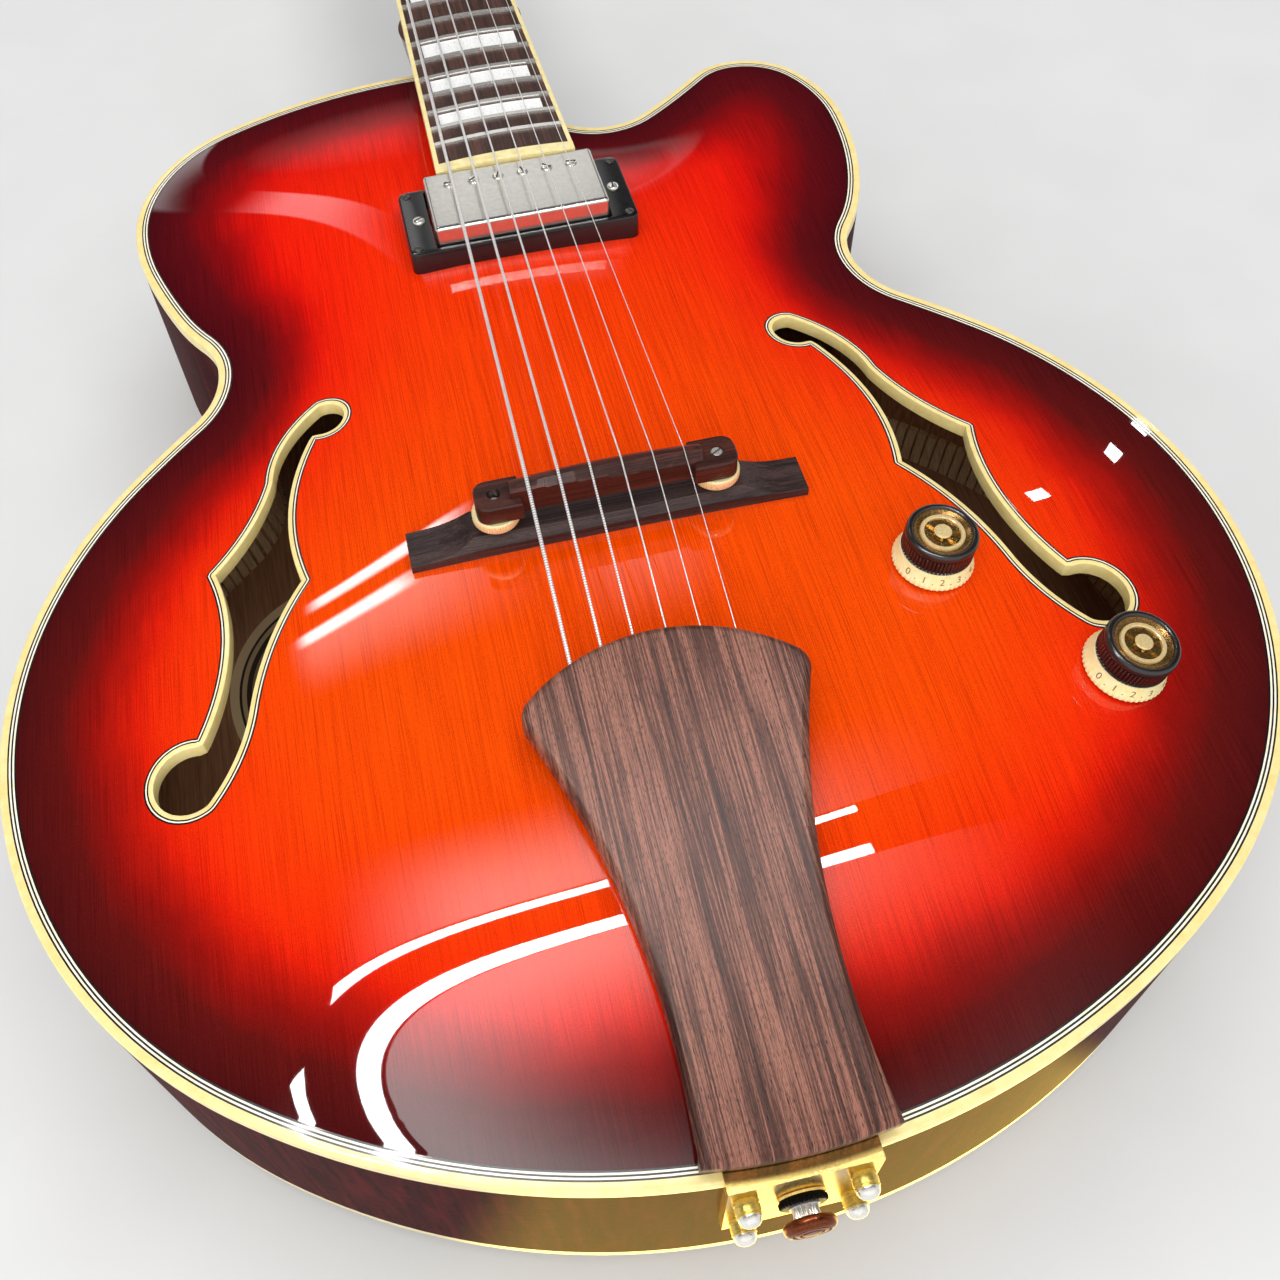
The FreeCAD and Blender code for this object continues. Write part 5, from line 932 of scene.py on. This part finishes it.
# the slot in the treble post is a dark bar of painted shade, joined with the painted shade of the screw slots
slot_shades.append(at_post(slot_shade_bar(3.6, 36.76, 0.5), 1))
piece("painted_screw_slot_shades", *joined(slot_shades), slot_shade_finish, "black_metal")
for side, turn in (("bass", -1), ("treble", 1)):
    piece(f"knurled_wheel_{side}", *knurled_wheel(turn), pale_gold_finish, "gold_plate",
          (f"thumbwheel_{side}",), body=f"thumbwheel_{side}")


# Bracket screws and end pin, pointing out of the tail

OUT_TURN = np.array([[1, 0, 0], [0, 0, -1], [0, 1, 0]])


def out_of_tail(shape, x, z):
    return placed(shape, OUT_TURN, [TAIL_SHIFT + x, BRACKET_FRONT, z])


spacer_profile = [(0, 0), (3.4, 0), (3.6, 0.3), (3.6, 1.1), (3.35, 1.3), (3.35, 1.5), (3.6, 1.7),
                  (3.6, 3.2), (3.35, 3.4), (3.35, 3.6), (3.6, 3.8), (3.6, 4.1), (0, 4.1)]
dome_profile = [(0, 3.9), (3.2, 3.9), (3.3, 4.3), (3.2, 5.0), (2.8, 5.9), (2.1, 6.6), (1.1, 7.0), (0, 7.15)]
bracket_spots = [(x, z) for x in (-SCREW_OUT, SCREW_OUT) for z in SCREW_LEVELS]
piece("grooved_spacers", *joined([out_of_tail(turned(spacer_profile, 48), x, z) for x, z in bracket_spots]),
      spacer_finish, "gold_plate", ("bracket_screws",))
piece("domed_screws", *joined([out_of_tail(turned(dome_profile, 48), x, z) for x, z in bracket_spots]),
      bright_finish, "nickel", ("bracket_screws",))

collar_profile = [(3.2, 0), (6.6, 0), (6.9, 0.3), (6.6, 0.9), (5.2, 1.1), (3.2, 1.1), (3.2, 0)]
nut_profile = [(3.2, 1.0), (6.2, 1.0), (6.9, 1.4), (6.9, 2.6), (6.2, 3.0), (3.2, 3.0), (3.2, 1.0)]
neck_profile = [(0, 2.9), (4.2, 2.9), (4.3, 3.3), (3.9, 3.4), (3.7, 4.6), (3.9, 6.2), (4.4, 6.5), (0, 6.6)]
button_profile = [(0, 6.4), (5.8, 6.5), (6.9, 6.8), (7.35, 7.5), (7.4, 8.3), (7.1, 9.2), (6.3, 9.9),
                  (5.6, 10.05), (5.3, 9.6), (4.9, 9.6), (4.6, 10.1), (3.6, 10.2), (3.3, 9.8), (2.9, 9.8),
                  (2.6, 10.3), (0, 10.5)]
for name, shape, finish, slot, node, crease in (
        ("gold_collar", turned(collar_profile, 64), gold_finish, "gold_plate", "end_pin_nut", 40),
        ("knurled_lock_nut", turned(nut_profile, 160, 32, 0.7, (1.3, 2.7)), black_metal_finish, "black_metal",
         "end_pin_nut", 40),
        ("ribbed_pin_neck", turned(neck_profile, 128, 16, 0.6, (3.35, 6.3)), bright_finish, "nickel",
         "end_pin", 40),
        ("ringed_strap_button", turned(button_profile, 96), copper_finish, "gold_plate", "end_pin", 50)):
    piece(name, *out_of_tail(shape, 0, PIN_LEVEL), finish, slot, (node,), crease=crease)


# Knobs and dials

def control_place(x, y):
    """Turn and place of a control: Z along the normal of the arch, at the top's surface."""
    step = 3.0
    reach = np.array([(step, 0), (-step, 0), (0, step), (0, -step), (0, 0)])
    level = top_height(x + reach[:, 0], y + reach[:, 1])
    normal = unit(np.array([level[1] - level[0], level[3] - level[2], 2 * step]))
    lean = Vector(UP).rotation_difference(Vector(normal)).to_matrix()
    return np.array(lean), np.array([x, y, level[4]])


def knob_cap():
    """Cap with fine upright ribs, a rounded brim and a dish in its top."""
    profile = [(8.0, 7.1), (11.4, 7.1), (11.7, 7.4), (11.7, 7.6), (11.7, 12.8), (11.7, 13.0), (11.35, 13.1),
               (11.35, 13.3), (11.75, 13.5), (11.75, 14.2), (11.6, 14.9), (11.2, 15.5), (10.6, 15.8),
               (10.0, 15.75), (9.6, 15.4), (9.4, 14.9), (8.2, 13.4), (3.0, 13.4), (3.0, 8.4), (8.0, 8.4),
               (8.0, 7.1)]
    return turned(profile, 480, 60, 0.7, (7.5, 12.9))


def knob_dish():
    """Smoked dish: a cone down from the brim, a floor and a short post in the middle."""
    return turned([(0, 13.5), (8.2, 13.5), (9.45, 15.1), (9.1, 15.2), (7.5, 14.1), (5.5, 13.9), (2.6, 13.8),
                   (2.5, 15.2), (0, 15.2)], 96)


def knob_ring():
    """Raised ring in the dish and the round button on the post."""
    ring = turned([(5.9, 13.8), (7.3, 13.8), (7.3, 14.7), (7.1, 15.0), (6.1, 15.0), (5.9, 14.8),
                   (5.9, 13.8)], 96)
    button = turned([(0, 14.9), (2.75, 14.9), (2.85, 15.3), (2.6, 15.65), (0, 15.8)], 64)
    return joined([ring, button])


def knob_spokes():
    """Six bars down in the groove between the post and the ring."""
    spoke = bar((2.3, -0.45, 13.7), (6.1, 0.45, 14.6))
    return joined([placed(spoke, turn_z(angle), [0, 0, 0]) for angle in np.radians(np.arange(3, 363, 60))])


def dial_plate():
    """Flared skirt with a coarsely notched edge."""
    profile = [(8, 1.0), (13.0, 1.0), (13.4, 1.3), (13.4, 2.1), (13.15, 2.5), (12.75, 3.6), (12.4, 4.8),
               (12.1, 6.0), (11.9, 7.15), (8, 7.15), (8, 1.0)]
    return turned(profile, 288, 48, 0.3, (1.2, 2.2))


def dial_numbers(first):
    """Numbers 0 to 10 round the skirt with dots between them: flat letters laid on the cone, with their width
    along the circle and their height up the slope."""
    size, step, reach, level, lean, rise, mean_radius = 3.5, 13.5, 12.6, 4.4, 0.26, 0.96, 12.5
    shapes = []
    for index in range(21):
        words = bpy.data.curves.new("number", "FONT")
        words.body, words.size = "." if index % 2 else str(index // 2), size
        words.align_x, words.align_y = "CENTER", "CENTER"
        holder = bpy.data.objects.new("number", words)
        flat = bpy.data.meshes.new_from_object(holder)
        bpy.data.objects.remove(holder)
        flat.calc_loop_triangles()
        spot, triangles = np.empty((len(flat.vertices), 3)), np.empty((len(flat.loop_triangles), 3), int)
        flat.vertices.foreach_get("co", spot.ravel())
        flat.loop_triangles.foreach_get("vertices", triangles.ravel())
        radius = reach - lean * spot[:, 1]
        angle = math.radians(first + step * index) + spot[:, 0] / mean_radius
        points = np.stack([radius * np.cos(angle), radius * np.sin(angle), level + rise * spot[:, 1]], 1)
        shapes.append((points, triangles))
    return joined(shapes)


for control, spot in CONTROLS.items():
    turn, place = control_place(*spot)
    for name, shape, finish, slot, node in (
            ("cap", knob_cap(), knob_finish, "brown_plastic", "knob"),
            ("dish", knob_dish(), smoked_gold_finish, "gold_plate", "insert"),
            ("ring", knob_ring(), warm_gold_finish, "gold_plate", None),
            ("spokes", knob_spokes(), gold_finish, "gold_plate", None),
            ("skirt", dial_plate(), dial_finish, "cream_plastic", "dial"),
            ("numbers", dial_numbers(FIRST_NUMBER[control]), number_finish, "brown_plastic", None)):
        piece(f"{control}_{name}", *placed(shape, turn, place), finish, slot,
              (f"{control}_{node}",) if node else (), closed=name != "numbers", body=f"{control}_control")


# Floor, light and camera

def stage_floor():
    """Pale floor, a square 12 metres wide a hair below the guitar."""
    half, level = 6, -0.0003
    mesh = bpy.data.meshes.new("floor")
    corners = [((2 * a - 1) * half, (2 * b - 1) * half, level) for a, b in BOX_RING]
    mesh.from_pydata(corners, [], [(0, 1, 2, 3)])
    floor = bpy.data.objects.new("floor", mesh)
    bpy.context.scene.collection.objects.link(floor)
    made = material("pale_studio_floor")
    mottle = add(made, "TexNoise", {"Vector": stretched(made, 3, 3, 3)})
    tone = add(made, "ValToRGB", {"Fac": mottle}, ((0.3, "#DADADA"), (0.7, "#DEDEDE")))
    mesh.materials.append(shaded(made, Base_Color=tone, Roughness=0.9, Specular_IOR_Level=0.0))


def area_light(name, start, end, height, width, radiance, fade=None, mirrored=True, tint="#FFFFFF",
               facing=LAMP_AIM):
    """Rectangular lamp between two points at one height, facing a third. Either polished faces mirror it or
    it lights the rest, never both. Its face may fade out towards start, end, and its near and far long side,
    each over a share of it."""
    start, end, facing = (Vector(spot) for spot in metres([(*start, height), (*end, height), facing]))
    lamp = bpy.data.lights.new(name, "AREA")
    lamp.shape, lamp.size, lamp.size_y = "RECTANGLE", (end - start).length, width / 1000
    lamp.energy = radiance * math.pi * lamp.size * lamp.size_y
    lamp.color = colour(tint)[:3]
    made = bpy.data.objects.new(name, lamp)
    bpy.context.scene.collection.objects.link(made)
    middle = (start + end) / 2
    run = (end - start).normalized()
    over = (middle - facing).cross(run).normalized()
    away = run.cross(over)
    made.matrix_world = Matrix.Translation(middle) @ Matrix((run, over, away)).transposed().to_4x4()
    made.visible_camera = False
    made.visible_glossy, made.visible_diffuse = mirrored, not mirrored
    if fade:
        lamp.use_nodes = True
        face = add(lamp, "NewGeometry", output="Parametric")
        ends = (("X", 0, fade[0]), ("X", 1, 1 - fade[1]), ("Y", 0, fade[2]), ("Y", 1, 1 - fade[3]))
        share = 1.0
        for axis, edge, full in ends:
            if edge != full:
                place = add(lamp, "SeparateXYZ", {"Vector": face}, output=axis)
                part = add(lamp, "MapRange", {"Value": place, "From Min": edge, "From Max": full},
                           interpolation_type="SMOOTHSTEP")
                share = add(lamp, "Math", {0: share, 1: part}, operation="MULTIPLY")
        feed(lamp, "Emission", {"Strength": share})


def light_and_world():
    """Two tubes low over the tail with a faded panel on the outer side of each, paler stretches further off
    for the streaks by the bridge and the neck, a card that the pickup cover mirrors, a tan cloth that the
    ribs mirror at the tail, soft lamps above and in front that light everything, and a room that is bright
    behind the camera and low down, dim above and ahead."""
    area_light("tube_front", (-198, -129), (150, -101), 300, 9, 50)
    area_light("tube_back", (-206, -103), (146, -66), 300, 6, 50)
    area_light("panel_front", (-198, -169), (290, -129), 300, 80, 5.5, fade=(0, 0.85, 0.95, 0))
    area_light("panel_back", (-215, -58), (240, -10), 300, 84, 4.2, fade=(0.25, 0.75, 0, 0.95))
    area_light("streak_back", (-425, 798), (-60, 818), 900, 36, 22, fade=(0.15, 0.3, 0.4, 0.3))
    area_light("streak_middle", (-435, 700), (-150, 735), 900, 40, 22, fade=(0.15, 0.3, 0.4, 0.3))
    area_light("streak_front", (-440, 615), (60, 655), 900, 150, 3.0, fade=(0.15, 0.5, 0.9, 0))
    area_light("streak_side", (60, 585), (290, 605), 900, 140, 1.3, fade=(0.3, 0.4, 0.9, 0.1))
    area_light("back_wall", (-520, 1827), (-140, 1390), 900, 220, 2.4, fade=(0.35, 0.5, 0.1, 0.1))
    area_light("side_wall", (430, 2200), (610, 2700), 900, 160, 0.3, fade=(0.4, 0.3, 0.3, 0.3))
    area_light("far_lamp", (1090, 895), (1150, 925), 900, 34, 40)
    area_light("near_lamp", (890, 765), (925, 785), 900, 28, 40)
    area_light("pickup_card", (-60, 300), (95, 300), 108, 80, 0.95, fade=(0.25, 0.25, 0.25, 0.3))
    area_light("tan_cloth", (-104, -214), (135, -205), -97, 56, 5.0, fade=(0.14, 0.1, 0, 0),
               tint="#FFD654", facing=(15, -210, 900))
    area_light("soft_overhead", (-1500, 200), (1500, 200), 2300, 2600, 2.3, mirrored=False)
    area_light("soft_front", (-1150, -700), (-50, -1250), 520, 900, 1.7, mirrored=False)
    world = bpy.data.worlds.new("studio_room")
    world.use_nodes = True
    way = add(world, "TexCoord", output="Generated")
    along = add(world, "SeparateXYZ", {"Vector": way}, output="Y")
    rise = add(world, "SeparateXYZ", {"Vector": way}, output="Z")
    behind = add(world, "MapRange", {
        "Value": along, "From Min": 0.05, "From Max": -0.7, "To Min": 0.04, "To Max": 1.1})
    low = add(world, "MapRange", {"Value": rise, "From Min": 0.4, "From Max": 0.15, "To Max": 0.85})
    light = add(world, "Math", {0: behind, 1: low}, operation="MAXIMUM")
    feed(world, "Background", {"Color": colour("#FFFFFF"), "Strength": light})
    bpy.context.scene.world = world


def photo_camera():
    """Camera over the tail, found from the photograph: place, aim, roll and focal length in pixels."""
    place, aim = Vector((-0.0562, -0.5774, 0.4674)), Vector((-0.0224, -0.3253, 0.0981))
    roll, focal, frame_size, middle = math.radians(-5.31), 1355.2, 1280, (567.4, 639.7)
    ahead = (aim - place).normalized()
    right = ahead.cross(Vector(UP)).normalized()
    over = right.cross(ahead)
    c, s = math.cos(roll), math.sin(roll)
    right, over = right * c + over * s, over * c - right * s
    lens = bpy.data.cameras.new("photo_camera")
    lens.sensor_width, lens.lens = 36, 36 * focal / frame_size
    lens.shift_x, lens.shift_y = 0.5 - middle[0] / frame_size, middle[1] / frame_size - 0.5
    lens.clip_start, lens.clip_end = 0.01, 50
    camera = bpy.data.objects.new("photo_camera", lens)
    camera.matrix_world = Matrix.Translation(place) @ Matrix((right, over, -ahead)).transposed().to_4x4()
    bpy.context.scene.collection.objects.link(camera)
    bpy.context.scene.camera = camera


stage_floor()
light_and_world()
photo_camera()
bpy.context.scene.view_settings.view_transform = "Standard"
